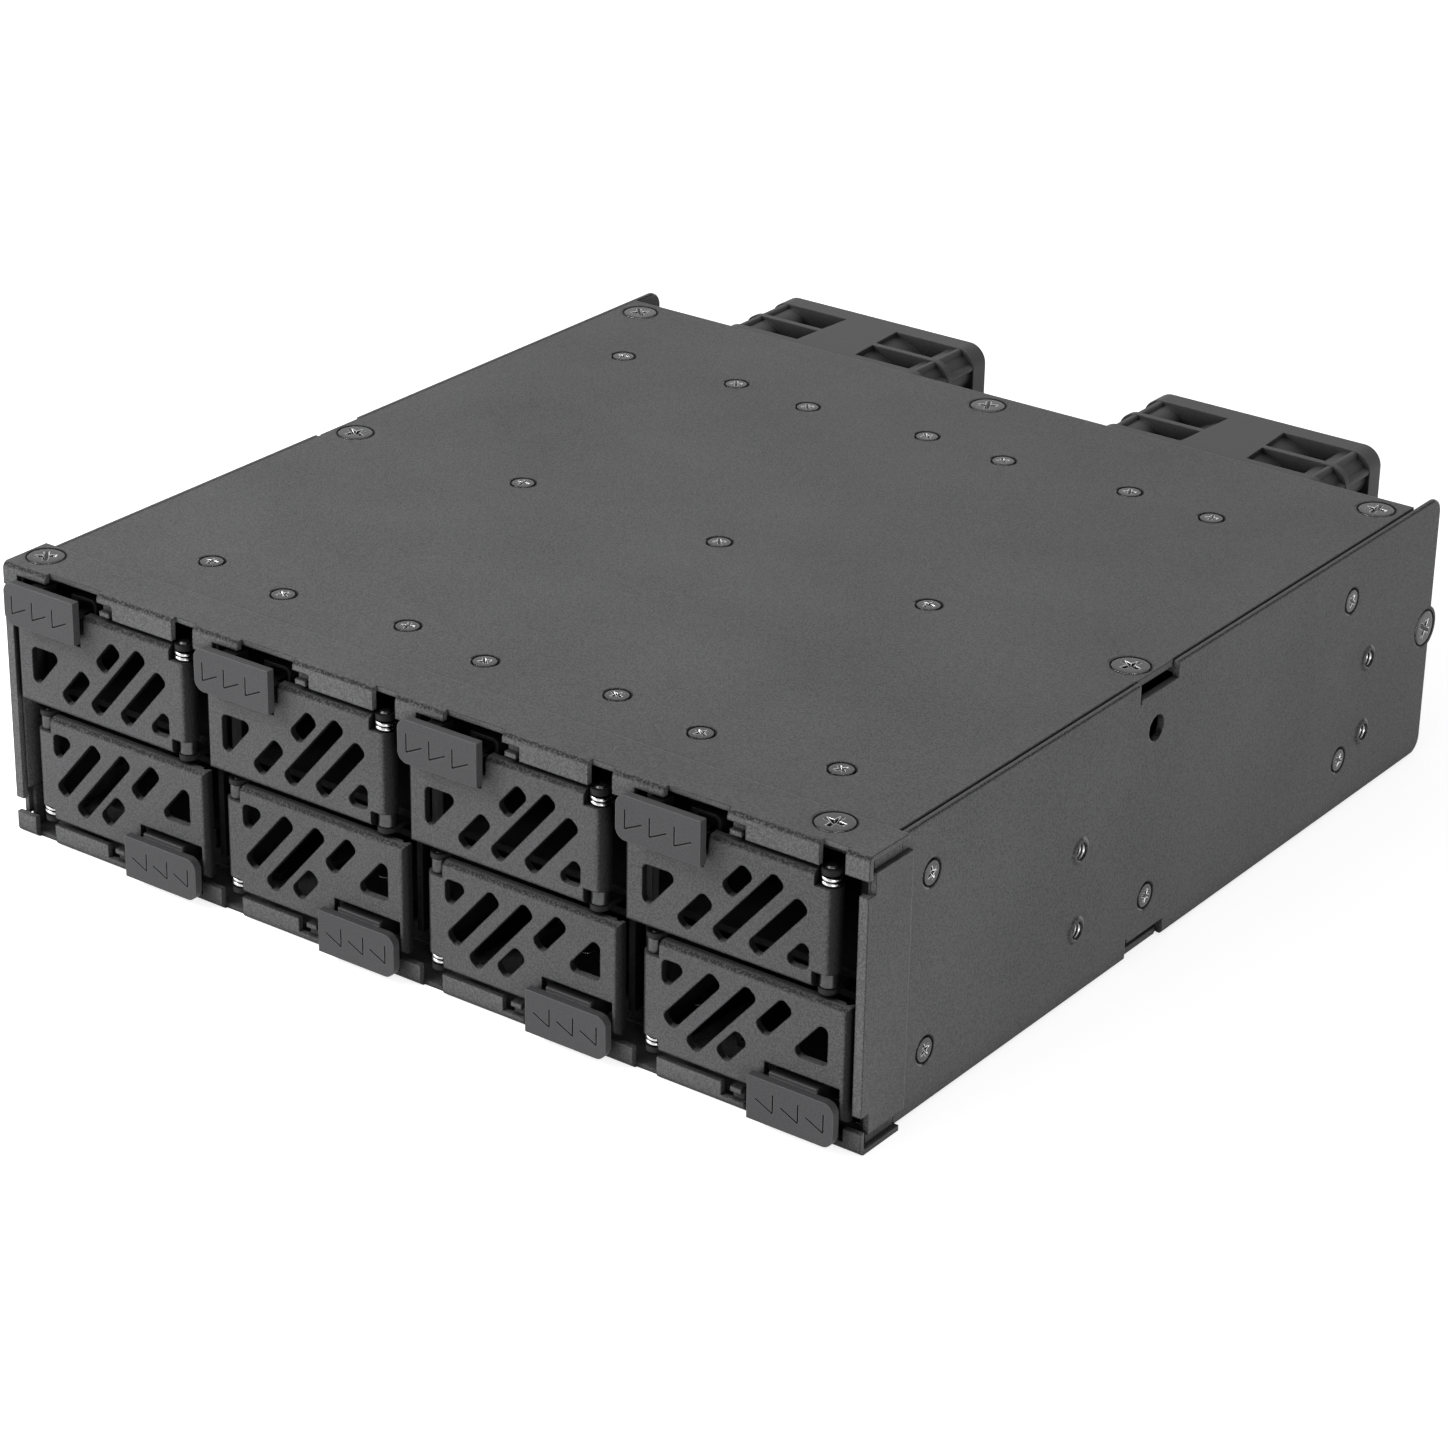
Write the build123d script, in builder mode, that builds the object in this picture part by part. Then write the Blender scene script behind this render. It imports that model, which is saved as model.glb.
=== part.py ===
from build123d import *
import math
import os

# Hot swap drive cage for one full-width 41 mm device bay: eight drive carriers in
# two rows of four, each with a hinged vented door and a sliding release tab, and
# two 40 mm fans at the rear. Millimetres. X runs to the right seen from the front,
# Y runs from the front to the rear with Y = 0 on the bay's mounting plane, and Z is
# up with Z = 0 under the front frame's bottom flange.

# Overall case
device_width = 146.0
case_height = 41.66
frame_rise = 0.29
case_front_y = 5.1
case_rear_y = 139.6
panel_rear_y = 146.5

# Sheet thicknesses
cover_sheet = 1.0
side_sheet = 1.0
frame_sheet = 0.8
door_sheet = 1.0
carrier_sheet = 1.0
inner_sheet = 1.0
board_thickness = 1.6

# Clearances
seat_gap = 0.1
running_gap = 0.05
screw_gap = 0.05

# Bays
columns = 4
row_gap = 1.2

# Front frame
lip_front_y = -3.7
frame_flange_rear_y = 4.9
frame_side_rear_y = 6.0
lip_depth = 3.32
lip_shoulder = 1.37
bend_radius = 1.0
side_lip_width = 1.4
side_lip_half_height = 15.5
side_flange_half_height = 18.5
side_relief_y = -2.1
web_front_y = -1.5
web_rear_y = 4.5
web_low = 14.0

# Lips of one bay, as (start, end) across from the column's middle
corner_lip = (-19.8, -17.1)
middle_lip = {1: (1.1, 12.3), -1: (1.9, 12.5)}
end_lip = (16.2, 19.8)
tab_notch = (-11.6, -1.75)
hinge_notch = (12.3, 16.2)
lip_hook = (-1.3, 0.5)

# Doors
door_proud = 0.3
door_depth = 1.6
door_lip_gap = 0.8
door_left = -17.65
barrel_radius = 1.6
pin_radius = 0.8
hinge_inset = 4.6
barrel_top_drop = 2.0
barrel_low_rise = 2.45
corner_relief = 0.45

# Vents of one door: slanted slots as (start across, start height, end height)
vent_width = 2.4
vent_corner = 0.9
vent_angle = 49.5
long_vent = (-2.86, 3.0, 14.2)
middle_vent = (2.76, 3.0, 11.95)
low_vent = (-8.43, 3.0, 8.0)
high_vent = (-1.5, 9.9, 13.9)
large_vent_left = -14.65
large_vent_low = 2.7
large_vent_high = 9.75
small_vent_right = 11.4
small_vent_low = 2.9
small_vent_rise = 5.1

# Release tab
tab_width = 13.35
tab_height = 6.35
tab_proud = 2.56
tab_thickness = 1.26
tab_travel = 1.8
tab_far_corner = 1.6
tab_near_corner = 0.4
tab_right = -3.95
grip_marks = 3
grip_pitch = 3.9
grip_margin = 1.5
grip_groove = 0.25
stroke_width = 0.22
stroke_height = 2.7
stroke_length = 3.0
stroke_angle = 26

# Drive carriers
carrier_front_y = 0.9
carrier_length = 114.0
carrier_half_width = 16.6
carrier_wall_height = 14.65

# Hinge ears and spring
ear_radius = 1.35
ear_thickness = 0.8
wire_diameter = 0.5
spring_turns = 1.5
spring_pitch = 0.65
leg_length = 5.0

# Interior
divider_front_y = 2.0
board_front_y = 121.6
flange_width = 8.0
guide_width = 16.0
guide_front_y = 8.0
socket_width = 22.0
socket_height = 4.5
socket_depth = 5.2

# Side mounting pattern of the device bay standard
side_hole_front_y = 47.5
side_hole_spacing_y = 79.25
bay_floor_z = 0.65
side_hole_low = 10.0
side_hole_spacing_z = 11.84
side_hole_radius = 1.25

# Screws
small_head_radius = 2.15
small_shank_radius = 1.25
small_screw_length = 2.15
large_head_radius = 3.2
large_shank_radius = 1.5
large_screw_length = 4.0
head_depth = 0.7
side_screw_offset = 12.7
rear_side_screw_y = 144.7

# Fans
fan_size = 40.0
fan_depth = 20.0
fan_offset = 36.0
fan_hole_spacing = 32.0
fan_corner = 3.0
fan_flange = 3.5
fan_bore_radius = 18.9
fan_wall = 0.9
boss_radius = 3.3
fan_screw_radius = 1.9
hub_radius = 11.0
blades = 7
blade_thickness = 1.0

# Ports
data_port_width = 11.0
data_port_height = 5.6
data_port_pitch_x = 13.4
data_port_pitch_z = 8.4
power_port_width = 5.0
power_port_height = 22.0
port_reach = 1.2

# Derived places
half_width = device_width / 2
panel_inner = half_width - side_sheet
half_height = case_height / 2
frame_half_height = half_height + frame_rise
mid_z = frame_half_height
cover_under = half_height - cover_sheet
inner_top = cover_under - seat_gap
column_pitch = (device_width - 2 * side_sheet) / columns
lip_end = frame_half_height - lip_depth
lip_back_y = lip_front_y + frame_sheet
flange_under = frame_half_height - frame_sheet
frame_half_width = half_width + frame_sheet
cover_half_width = panel_inner - seat_gap
door_front_y = lip_front_y - door_proud
door_low = row_gap / 2
door_top = lip_end - door_lip_gap
hinge_y = door_front_y + barrel_radius
hinge_u = column_pitch / 2 - hinge_inset
barrel_low = door_low + barrel_low_rise
barrel_top = door_top - barrel_top_drop
notch_u = hinge_u - barrel_radius + running_gap
carrier_low = door_low + 0.4
carrier_wall_top = carrier_low + carrier_wall_height
carrier_rear_y = carrier_front_y + carrier_length
board_rear_y = board_front_y + board_thickness
rear_panel_y = case_rear_y - inner_sheet
fan_front_y = rear_panel_y + inner_sheet
fan_rear_y = fan_front_y + fan_depth
shelf_half = inner_sheet / 2
panel_half_height = half_height - seat_gap


class Bay:
    """One bay: its column centre and +1 for the top row, -1 for the bottom row.

    The bottom row is the top row turned half a turn about the column's middle line,
    so both rows are drawn on the same local axes: u across and w away from the middle.
    """

    def __init__(self, centre_x, row):
        self.centre_x = centre_x
        self.row = row

    def face(self, y):
        """Upright plane at depth y, drawn in (u, w) and facing the front."""
        return Plane(origin=(self.centre_x, y, mid_z), x_dir=(self.row, 0, 0), z_dir=(0, -1, 0))

    def level(self, w):
        """Flat plane at height w, drawn in (u, y) and facing away from the middle."""
        origin = (self.centre_x, 0, mid_z + self.row * w)
        return Plane(origin=origin, x_dir=(self.row, 0, 0), z_dir=(0, 0, self.row))

    def from_first(self):
        """Move that takes a piece drawn in the middle top bay to this bay."""
        half_turn = 90 - 90 * self.row
        return Location((self.centre_x, 0, mid_z), (0, half_turn, 0)) * Location((0, 0, -mid_z))


def block(place, span_u, span_w, y_span, mode=Mode.ADD):
    """Box drawn on the face plane of place, from y_span[0] back to y_span[1]."""
    with BuildSketch(place.face(y_span[0])) as outline:
        with Locations(((span_u[0] + span_u[1]) / 2, (span_w[0] + span_w[1]) / 2)):
            Rectangle(abs(span_u[1] - span_u[0]), abs(span_w[1] - span_w[0]))
    extrude(outline.sketch, amount=y_span[0] - y_span[1], mode=mode)


def post(place, u, y, radius, w_span, mode=Mode.ADD):
    """Round post standing on the level plane at w_span[0], up to w_span[1]."""
    with BuildSketch(place.level(w_span[0])) as outline:
        with Locations((u, y)):
            Circle(radius)
    extrude(outline.sketch, amount=w_span[1] - w_span[0], mode=mode)


def bar(plane, radius, length, mode=Mode.ADD):
    """Round bar from the plane's origin along its normal."""
    with BuildSketch(plane) as outline:
        Circle(radius)
    extrude(outline.sketch, amount=length, mode=mode)


def front_edges(part, place):
    """Edges of the frontmost face that lie away from the hinge end."""
    face = part.faces().filter_by(Axis.Y).sort_by(Axis.Y)[0]
    ordered = sorted(face.edges(), key=lambda edge: place.row * edge.center().X)
    return ordered[:-1]


def sink(places, shank_radius, head_radius, depth):
    """Countersunk holes whose cones are as deep as a screw's head."""
    cone = head_radius - shank_radius
    with Locations(*places):
        CounterSinkHole(shank_radius + screw_gap, head_radius + screw_gap, depth=depth,
                        counter_sink_angle=2 * math.degrees(math.atan(cone / head_depth)))


def on_cover(row, x, y, top):
    """Seat on the upper (+1) or lower (-1) cover, facing out."""
    return Plane(origin=(row * x, y, mid_z + row * top), z_dir=(0, 0, row))


def on_side(side, y, w, out=0):
    """Seat on the right (+1) or left (-1) side panel, facing out."""
    return Plane(origin=(side * (half_width + out), y, mid_z + w), z_dir=(side, 0, 0))


os.makedirs("parts", exist_ok=True)
case = {row: Bay(0, row) for row in (1, -1)}
column_centres = [(index - (columns - 1) / 2) * column_pitch for index in range(columns)]
divider_centres = [(index - (columns - 2) / 2) * column_pitch for index in range(columns - 1)]
bays = [Bay(centre, row) for row in (1, -1) for centre in column_centres]

# Screw places. A cover screw is (x, y) on the top cover, and the bottom plate has
# the same ones turned half a turn about the middle line.
guide_screws = [(centre + 2.4, 15.15) for centre in column_centres]
guide_screws += [(centre - 3.4, 117.4) for centre in column_centres]
divider_screws = [(centre, y) for centre in divider_centres for y in (12.7, 65.4, 118.6)]
small_cover_screws = guide_screws + divider_screws
frame_screws = [(-half_width + 2.5, 1.5), (half_width - 8.3, 1.9)]
tab_screws = [(side * (half_width - 4.4), 65.4) for side in (-1, 1)]
rear_cover_screws = [(-half_width + 5.1, 135.5), (0, 135.5), (half_width - 5.1, 135.5)]
side_screws = [(11.6, side_screw_offset), (120.2, side_screw_offset)]
side_screws += [(y, -side_screw_offset) for y in (11.6, 65.7, 120.2)]
side_plain_hole = (65.7, side_screw_offset)
hole_low_w = bay_floor_z + side_hole_low - mid_z
side_hole_rows = (hole_low_w, hole_low_w + side_hole_spacing_z)
side_hole_columns = (side_hole_front_y, side_hole_front_y + side_hole_spacing_y)


# Front frame: one folded sheet with lips over and under the doors and side flanges

lip_root = frame_half_height - lip_shoulder
notch_back_y = lip_back_y + 0.2

with BuildPart() as front_frame:
    for row in (1, -1):
        middle = case[row]
        width = (-frame_half_width, frame_half_width)
        block(middle, width, (flange_under, frame_half_height), (lip_front_y, frame_flange_rear_y))
        block(middle, width, (lip_root, frame_half_height), (lip_front_y, lip_back_y))
        bends = front_frame.edges().filter_by(Axis.X).group_by(Axis.Y)[0]
        fillet(bends.sort_by(lambda edge: row * edge.center().Z)[-1], radius=bend_radius)
    for bay in bays:
        for start, end in (corner_lip, middle_lip[bay.row], end_lip):
            at_left_end = bay.row * bay.centre_x + start < -frame_half_width
            at_right_end = bay.row * bay.centre_x + end > frame_half_width
            if at_left_end:
                start = -frame_half_width - bay.row * bay.centre_x
            if at_right_end:
                end = frame_half_width - bay.row * bay.centre_x
            block(bay, (start, end), (lip_end, lip_root), (lip_front_y, lip_back_y))
        for notch in (tab_notch, hinge_notch):
            cut_w = (lip_end - 1, frame_half_height + 1)
            block(bay, notch, cut_w, (lip_front_y - 1, notch_back_y), Mode.SUBTRACT)
        # Small hook that hangs behind the lip beside the release tab
        hook_low = lip_end + seat_gap
        block(bay, lip_hook, (hook_low, flange_under), (lip_back_y, lip_back_y + frame_sheet))
        block(bay, lip_hook, (hook_low, lip_end + frame_sheet), (lip_front_y, lip_back_y))
    for side in (1, -1):
        middle = case[1]
        flange = (side * half_width, side * frame_half_width)
        return_lip = (side * (frame_half_width - side_lip_width), side * frame_half_width)
        web = (side * (half_width - frame_sheet), side * half_width)
        tall = (-side_flange_half_height, side_flange_half_height)
        short = (-side_lip_half_height, side_lip_half_height)
        block(middle, flange, tall, (side_relief_y, frame_side_rear_y))
        block(middle, flange, short, (lip_front_y, side_relief_y))
        block(middle, return_lip, short, (lip_front_y, lip_back_y))
        for row in (1, -1):
            block(middle, web, (row * web_low, row * flange_under), (web_front_y, web_rear_y))
    seats = [on_cover(row, x, y, frame_half_height) for row in (1, -1) for x, y in frame_screws]
    sink(seats, large_shank_radius, large_head_radius, 2 * frame_sheet)
front_frame.part.label = "front_frame"
export_step(front_frame.part, "parts/front_frame.step")


# Top cover and bottom plate: pans that fold down inside the side panels
cover_fold = 9.5
panel_notch_y = (61.0, 70.8)
bracket_reach = 3.2
cover_tab_y = (panel_notch_y[0] + 0.4, panel_notch_y[1] - 0.4)
tongue_half = 4.0
tongue_front_y = -0.8
collar_relief = 2.7


def cover_pan(row, side_screw_rows):
    """Sheet with folded sides, screw holes, side tabs and two tongues under the frame."""
    middle = case[row]
    outer = (cover_under, half_height)
    with BuildPart() as pan:
        block(middle, (-cover_half_width, cover_half_width), outer, (case_front_y, case_rear_y))
        for side in (1, -1):
            fold = (side * (cover_half_width - cover_sheet), side * cover_half_width)
            block(middle, fold, (cover_fold, half_height), (guide_front_y, rear_panel_y - seat_gap))
            tab = (side * (cover_half_width - seat_gap), side * (panel_inner + seat_gap))
            block(middle, tab, outer, cover_tab_y)
            reach = bracket_reach + 4 * seat_gap
            gap_y = (panel_notch_y[0] - reach, panel_notch_y[1] + reach)
            block(middle, fold, (cover_fold - 1, cover_under), gap_y, Mode.SUBTRACT)
        for x, y in frame_screws:
            inner_end = x + math.copysign(tongue_half, -x)
            outer_end = math.copysign(min(abs(x) + tongue_half, cover_half_width), x)
            tongue_y = (tongue_front_y, case_front_y + 2 * cover_sheet)
            block(middle, (inner_end, outer_end), (cover_under - cover_sheet, cover_under), tongue_y)
            post(middle, x, y, large_shank_radius + screw_gap,
                 (cover_under - 2 * cover_sheet, half_height), Mode.SUBTRACT)
        for side in (1, -1):
            for y, w in side_screw_rows:
                bar(on_side(side, y, w, out=1), small_shank_radius + screw_gap, -5, Mode.SUBTRACT)
            for y in side_hole_columns:
                for w in side_hole_rows:
                    bar(on_side(side, y, w, out=1), collar_relief, -5, Mode.SUBTRACT)
        seats = [on_cover(row, x, y, half_height) for x, y in small_cover_screws]
        sink(seats, small_shank_radius, small_head_radius, 2 * cover_sheet)
        seats = [on_cover(row, x, y, half_height) for x, y in tab_screws + rear_cover_screws]
        sink(seats, large_shank_radius, large_head_radius, 2 * cover_sheet)
    return pan


top_cover = cover_pan(1, [place for place in side_screws if place[1] > 0] + [side_plain_hole])
top_cover.part.label = "top_cover"
export_step(top_cover.part, "parts/top_cover.step")

bottom_plate = cover_pan(-1, [place for place in side_screws if place[1] < 0])
bottom_plate.part.label = "bottom_plate"
export_step(bottom_plate.part, "parts/bottom_plate.step")


# Side panels: plain sheets with the bay's threaded holes, a notch beside each cover
# screw and a bracket behind it that goes under the cover
panel_notch = 2.4
notch_slit = (0.35, 0.65)
bracket_width = 7.4
bracket_setback = 1.4
panel_rim = 0.4
panel_front_y = lip_back_y + seat_gap
panel_corner = 2.5
collar_radius = 2.1
plain_hole_radius = 1.9
rear_seat_radius = 3.4


def side_panel(side):
    """Flat side sheet, mirrored from right (+1) to left (-1)."""
    middle = case[1]
    sheet = (side * panel_inner, side * half_width)
    with BuildPart() as panel:
        tall = (-panel_half_height, panel_half_height)
        block(middle, sheet, tall, (panel_front_y, panel_rear_y))
        rear_edges = panel.edges().filter_by(Axis.X).group_by(Axis.Y)[-1]
        fillet(rear_edges, radius=panel_corner)
        rims = [edge for edge in panel.edges().filter_by(Axis.Y)
                if abs(edge.center().Z - mid_z) > panel_half_height - seat_gap]
        fillet(rims, radius=panel_rim)
        bar(on_side(side, rear_side_screw_y, 0), rear_seat_radius, -side_sheet)
        for row in (1, -1):
            corner_w = (row * (web_low - seat_gap), row * half_height)
            corner_y = (panel_front_y - 1, web_rear_y + seat_gap)
            block(middle, sheet, corner_w, corner_y, Mode.SUBTRACT)
            flange_w = (row * (flange_under - seat_gap), row * half_height)
            flange_y = (panel_front_y - 1, frame_flange_rear_y + seat_gap)
            block(middle, sheet, flange_w, flange_y, Mode.SUBTRACT)
            notch_low = panel_half_height - panel_notch
            block(middle, sheet, (row * notch_low, row * half_height), panel_notch_y, Mode.SUBTRACT)
            slit_w = (row * (notch_low - notch_slit[1]), row * half_height)
            slit_y = (panel_notch_y[0], panel_notch_y[0] + notch_slit[0])
            block(middle, sheet, slit_w, slit_y, Mode.SUBTRACT)
            bracket_u = (side * (panel_inner - bracket_width), side * panel_inner)
            tab_w = (row * (cover_under - inner_sheet), row * cover_under)
            bracket_y = (panel_notch_y[0] - bracket_reach, panel_notch_y[1] + bracket_reach)
            block(middle, bracket_u, tab_w, bracket_y)
            setback_u = (side * (panel_inner - bracket_setback), side * half_width)
            block(middle, setback_u, tab_w, panel_notch_y, Mode.SUBTRACT)
            for x, y in tab_screws:
                post(case[row], x, y, large_shank_radius + screw_gap,
                     (tab_w[0] * row - 1, tab_w[1] * row + 1), Mode.SUBTRACT)
        for y in side_hole_columns:
            for w in side_hole_rows:
                bar(on_side(side, y, w, out=-side_sheet), collar_radius, 2 * seat_gap - side_sheet)
                bar(on_side(side, y, w, out=1), side_hole_radius, -5, Mode.SUBTRACT)
        y, w = side_plain_hole
        bar(on_side(side, y, w), plain_hole_radius, -2 * side_sheet, Mode.SUBTRACT)
        seats = [on_side(side, y, w) for y, w in side_screws]
        sink(seats, small_shank_radius, small_head_radius, 2 * side_sheet)
        sink([on_side(side, rear_side_screw_y, 0)], large_shank_radius, large_head_radius, 2 * side_sheet)
    return panel


right_side_panel = side_panel(1)
right_side_panel.part.label = "right_side_panel"
export_step(right_side_panel.part, "parts/right_side_panel.step")

left_side_panel = side_panel(-1)
left_side_panel.part.label = "left_side_panel"
export_step(left_side_panel.part, "parts/left_side_panel.step")


# Column dividers: I-section walls that slot into the middle shelf
cross_slot_y = (divider_front_y + board_front_y) / 2
slot_half = shelf_half + seat_gap

with BuildPart() as column_dividers:
    for centre in divider_centres:
        wall = Bay(centre, 1)
        web = (-inner_sheet / 2, inner_sheet / 2)
        block(wall, web, (-inner_top, inner_top), (divider_front_y, board_front_y))
        for row in (1, -1):
            flange_w = (row * (inner_top - inner_sheet), row * inner_top)
            flange_y = (frame_side_rear_y, board_front_y)
            block(wall, (-flange_width / 2, flange_width / 2), flange_w, flange_y)
            for x, y in divider_screws:
                post(case[row], x, y, small_shank_radius + screw_gap,
                     (inner_top - 2 * inner_sheet, inner_top + 1), Mode.SUBTRACT)
        block(wall, (-1, 1), (-slot_half, slot_half), (cross_slot_y, board_front_y + 1), Mode.SUBTRACT)
column_dividers.part.label = "column_dividers"
export_step(column_dividers.part, "parts/column_dividers.step")


# Middle shelf between the rows, slotted from the front for the dividers
shelf_front_y = 3.0
shelf_half_width = cover_half_width - cover_sheet - seat_gap
shelf_tab_places = (22.0, 92.0)

with BuildPart() as mid_shelf:
    middle = case[1]
    level = (-shelf_half, shelf_half)
    block(middle, (-shelf_half_width, shelf_half_width), level, (shelf_front_y, board_front_y))
    for y in shelf_tab_places:
        block(middle, (-panel_inner, panel_inner), level, (y, y + 12))
    for centre in divider_centres:
        slot = (centre - slot_half, centre + slot_half)
        block(middle, slot, (-1, 1), (shelf_front_y - 1, cross_slot_y + seat_gap), Mode.SUBTRACT)
mid_shelf.part.label = "mid_shelf"
export_step(mid_shelf.part, "parts/mid_shelf.step")


# Carrier guides: one strip with folded edges over each top bay and under each bottom bay
with BuildPart() as carrier_guides:
    for bay in bays:
        half = guide_width / 2
        depth = (guide_front_y, board_front_y - seat_gap)
        block(bay, (-half, half), (inner_top - frame_sheet, inner_top), depth)
        for side in (1, -1):
            fold = (side * (half - frame_sheet), side * half)
            block(bay, fold, (carrier_wall_top + 1.2, inner_top), depth)
    for row in (1, -1):
        for x, y in guide_screws:
            post(case[row], x, y, small_shank_radius + screw_gap,
                 (inner_top - 2, inner_top + 1), Mode.SUBTRACT)
carrier_guides.part.label = "carrier_guides"
export_step(carrier_guides.part, "parts/carrier_guides.step")


# Backplane board with an air window above each drive socket
socket_low = carrier_low + 2.6
board_half_width = shelf_half_width - 1.0
window_low = socket_low + socket_height + 1.6

with BuildPart() as backplane_board:
    middle = case[1]
    board_w = (-inner_top + inner_sheet, inner_top - inner_sheet)
    board_y = (board_front_y, board_rear_y)
    block(middle, (-board_half_width, board_half_width), board_w, board_y)
    for bay in bays:
        block(bay, (-socket_width / 2, socket_width / 2), (window_low, window_low + 6.0),
              (board_front_y - 1, board_rear_y + 1), Mode.SUBTRACT)
backplane_board.part.label = "backplane_board"
export_step(backplane_board.part, "parts/backplane_board.step")

with BuildPart() as drive_sockets:
    for bay in bays:
        half = socket_width / 2
        body_w = (socket_low, socket_low + socket_height)
        body_y = (board_front_y - socket_depth, board_front_y)
        block(bay, (-half, half), body_w, body_y)
        slot_w = socket_low + socket_height / 2
        block(bay, (-half + 1, half - 1), (slot_w - 0.5, slot_w + 0.5),
              (body_y[0] - 1, body_y[0] + 3.5), Mode.SUBTRACT)
drive_sockets.part.label = "drive_sockets"
export_step(drive_sockets.part, "parts/drive_sockets.step")


# Ports: data sockets between the fans and power sockets outside them
port_front_y = board_rear_y
port_rear_y = fan_front_y + port_reach
data_places = [(side * data_port_pitch_x / 2, (level - 1.5) * data_port_pitch_z)
               for level in range(4) for side in (-1, 1)]
power_offset = (fan_offset + fan_size / 2 + panel_inner) / 2
power_places = [(side * power_offset, 0) for side in (-1, 1)]


def port_group(places, width, height, wall):
    """Hollow rectangular sockets with a contact tongue, all reaching through the rear panel."""
    middle = case[1]
    with BuildPart() as ports:
        for u, w in places:
            span_u = (u - width / 2, u + width / 2)
            span_w = (w - height / 2, w + height / 2)
            block(middle, span_u, span_w, (port_front_y, port_rear_y))
            hollow_u = (span_u[0] + wall, span_u[1] - wall)
            hollow_w = (span_w[0] + wall, span_w[1] - wall)
            block(middle, hollow_u, hollow_w, (port_rear_y - 6, port_rear_y + 1), Mode.SUBTRACT)
            tongue_u = (u - min(width / 2 - 2 * wall, width / 2 - wall - 1), u + width / 2 - 2 * wall)
            tongue_w = (w - min(0.5, height / 2 - 2 * wall), w + 0.5)
            if height > width:
                tongue_u = (u - 0.5, u + 0.5)
                tongue_w = (w - height / 2 + 2 * wall, w + height / 2 - 2 * wall)
            block(middle, tongue_u, tongue_w, (port_rear_y - 6.5, port_rear_y - 1))
    return ports


data_ports = port_group(data_places, data_port_width, data_port_height, 0.8)
data_ports.part.label = "data_ports"
export_step(data_ports.part, "parts/data_ports.step")

power_ports = port_group(power_places, power_port_width, power_port_height, 1.0)
power_ports.part.label = "power_ports"
export_step(power_ports.part, "parts/power_ports.step")


# Rear panel: sheet behind the ports that carries the fans, folded at the top, bottom and sides
rear_fold = 8.5

with BuildPart() as rear_panel:
    middle = case[1]
    sheet_y = (rear_panel_y, fan_front_y)
    inner_half = cover_half_width - cover_sheet - seat_gap
    block(middle, (-inner_half, inner_half), (-inner_top, inner_top), sheet_y)
    for side in (1, -1):
        ear = (side * (panel_inner - inner_sheet), side * panel_inner)
        ear_w = (-7.0, 7.0)
        block(middle, (side * (inner_half - 1), side * panel_inner), ear_w, sheet_y)
        block(middle, ear, ear_w, (rear_panel_y, panel_rear_y + 1))
        bar(on_side(side, rear_side_screw_y, 0), large_shank_radius + screw_gap, -5, Mode.SUBTRACT)
    for row in (1, -1):
        fold_w = (row * (inner_top - inner_sheet), row * inner_top)
        fold_y = (case_rear_y - rear_fold, fan_front_y)
        block(middle, (-inner_half, inner_half), fold_w, fold_y)
        for x, y in rear_cover_screws:
            post(case[row], x, y, large_shank_radius + screw_gap,
                 (inner_top - 2, inner_top + 1), Mode.SUBTRACT)
    for side in (1, -1):
        duct = Plane(origin=(side * fan_offset, rear_panel_y - 1, mid_z), z_dir=(0, 1, 0))
        bar(duct, fan_bore_radius - 0.4, 3, Mode.SUBTRACT)
        for x in (-1, 1):
            for z in (-1, 1):
                hole_x = side * fan_offset + x * fan_hole_spacing / 2
                hole = Plane(origin=(hole_x, rear_panel_y - 1, mid_z + z * fan_hole_spacing / 2),
                             z_dir=(0, 1, 0))
                bar(hole, fan_screw_radius + screw_gap, 3, Mode.SUBTRACT)
    port_cut = (rear_panel_y - 1, fan_front_y + 1)
    for u, w in data_places:
        cut_u = (u - data_port_width / 2 - 0.3, u + data_port_width / 2 + 0.3)
        cut_w = (w - data_port_height / 2 - 0.3, w + data_port_height / 2 + 0.3)
        block(middle, cut_u, cut_w, port_cut, Mode.SUBTRACT)
    for u, w in power_places:
        cut_u = (u - power_port_width / 2 - 0.3, u + power_port_width / 2 + 0.3)
        cut_w = (w - power_port_height / 2 - 0.3, w + power_port_height / 2 + 0.3)
        block(middle, cut_u, cut_w, port_cut, Mode.SUBTRACT)
rear_panel.part.label = "rear_panel"
export_step(rear_panel.part, "parts/rear_panel.step")


# Fans: square frames with hollow corners and screw posts, and a seven-blade rotor
rib_y = fan_front_y + fan_depth * 0.45
hub_front_y = fan_front_y + 1.6
hub_rear_y = fan_rear_y - 4.4
motor_plate = 2.4
shaft_radius = 1.5
bearing_radius = 3.2
pad_low = 16.0
pad_front_half = 5.9
pad_rear_half = 4.7


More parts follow.
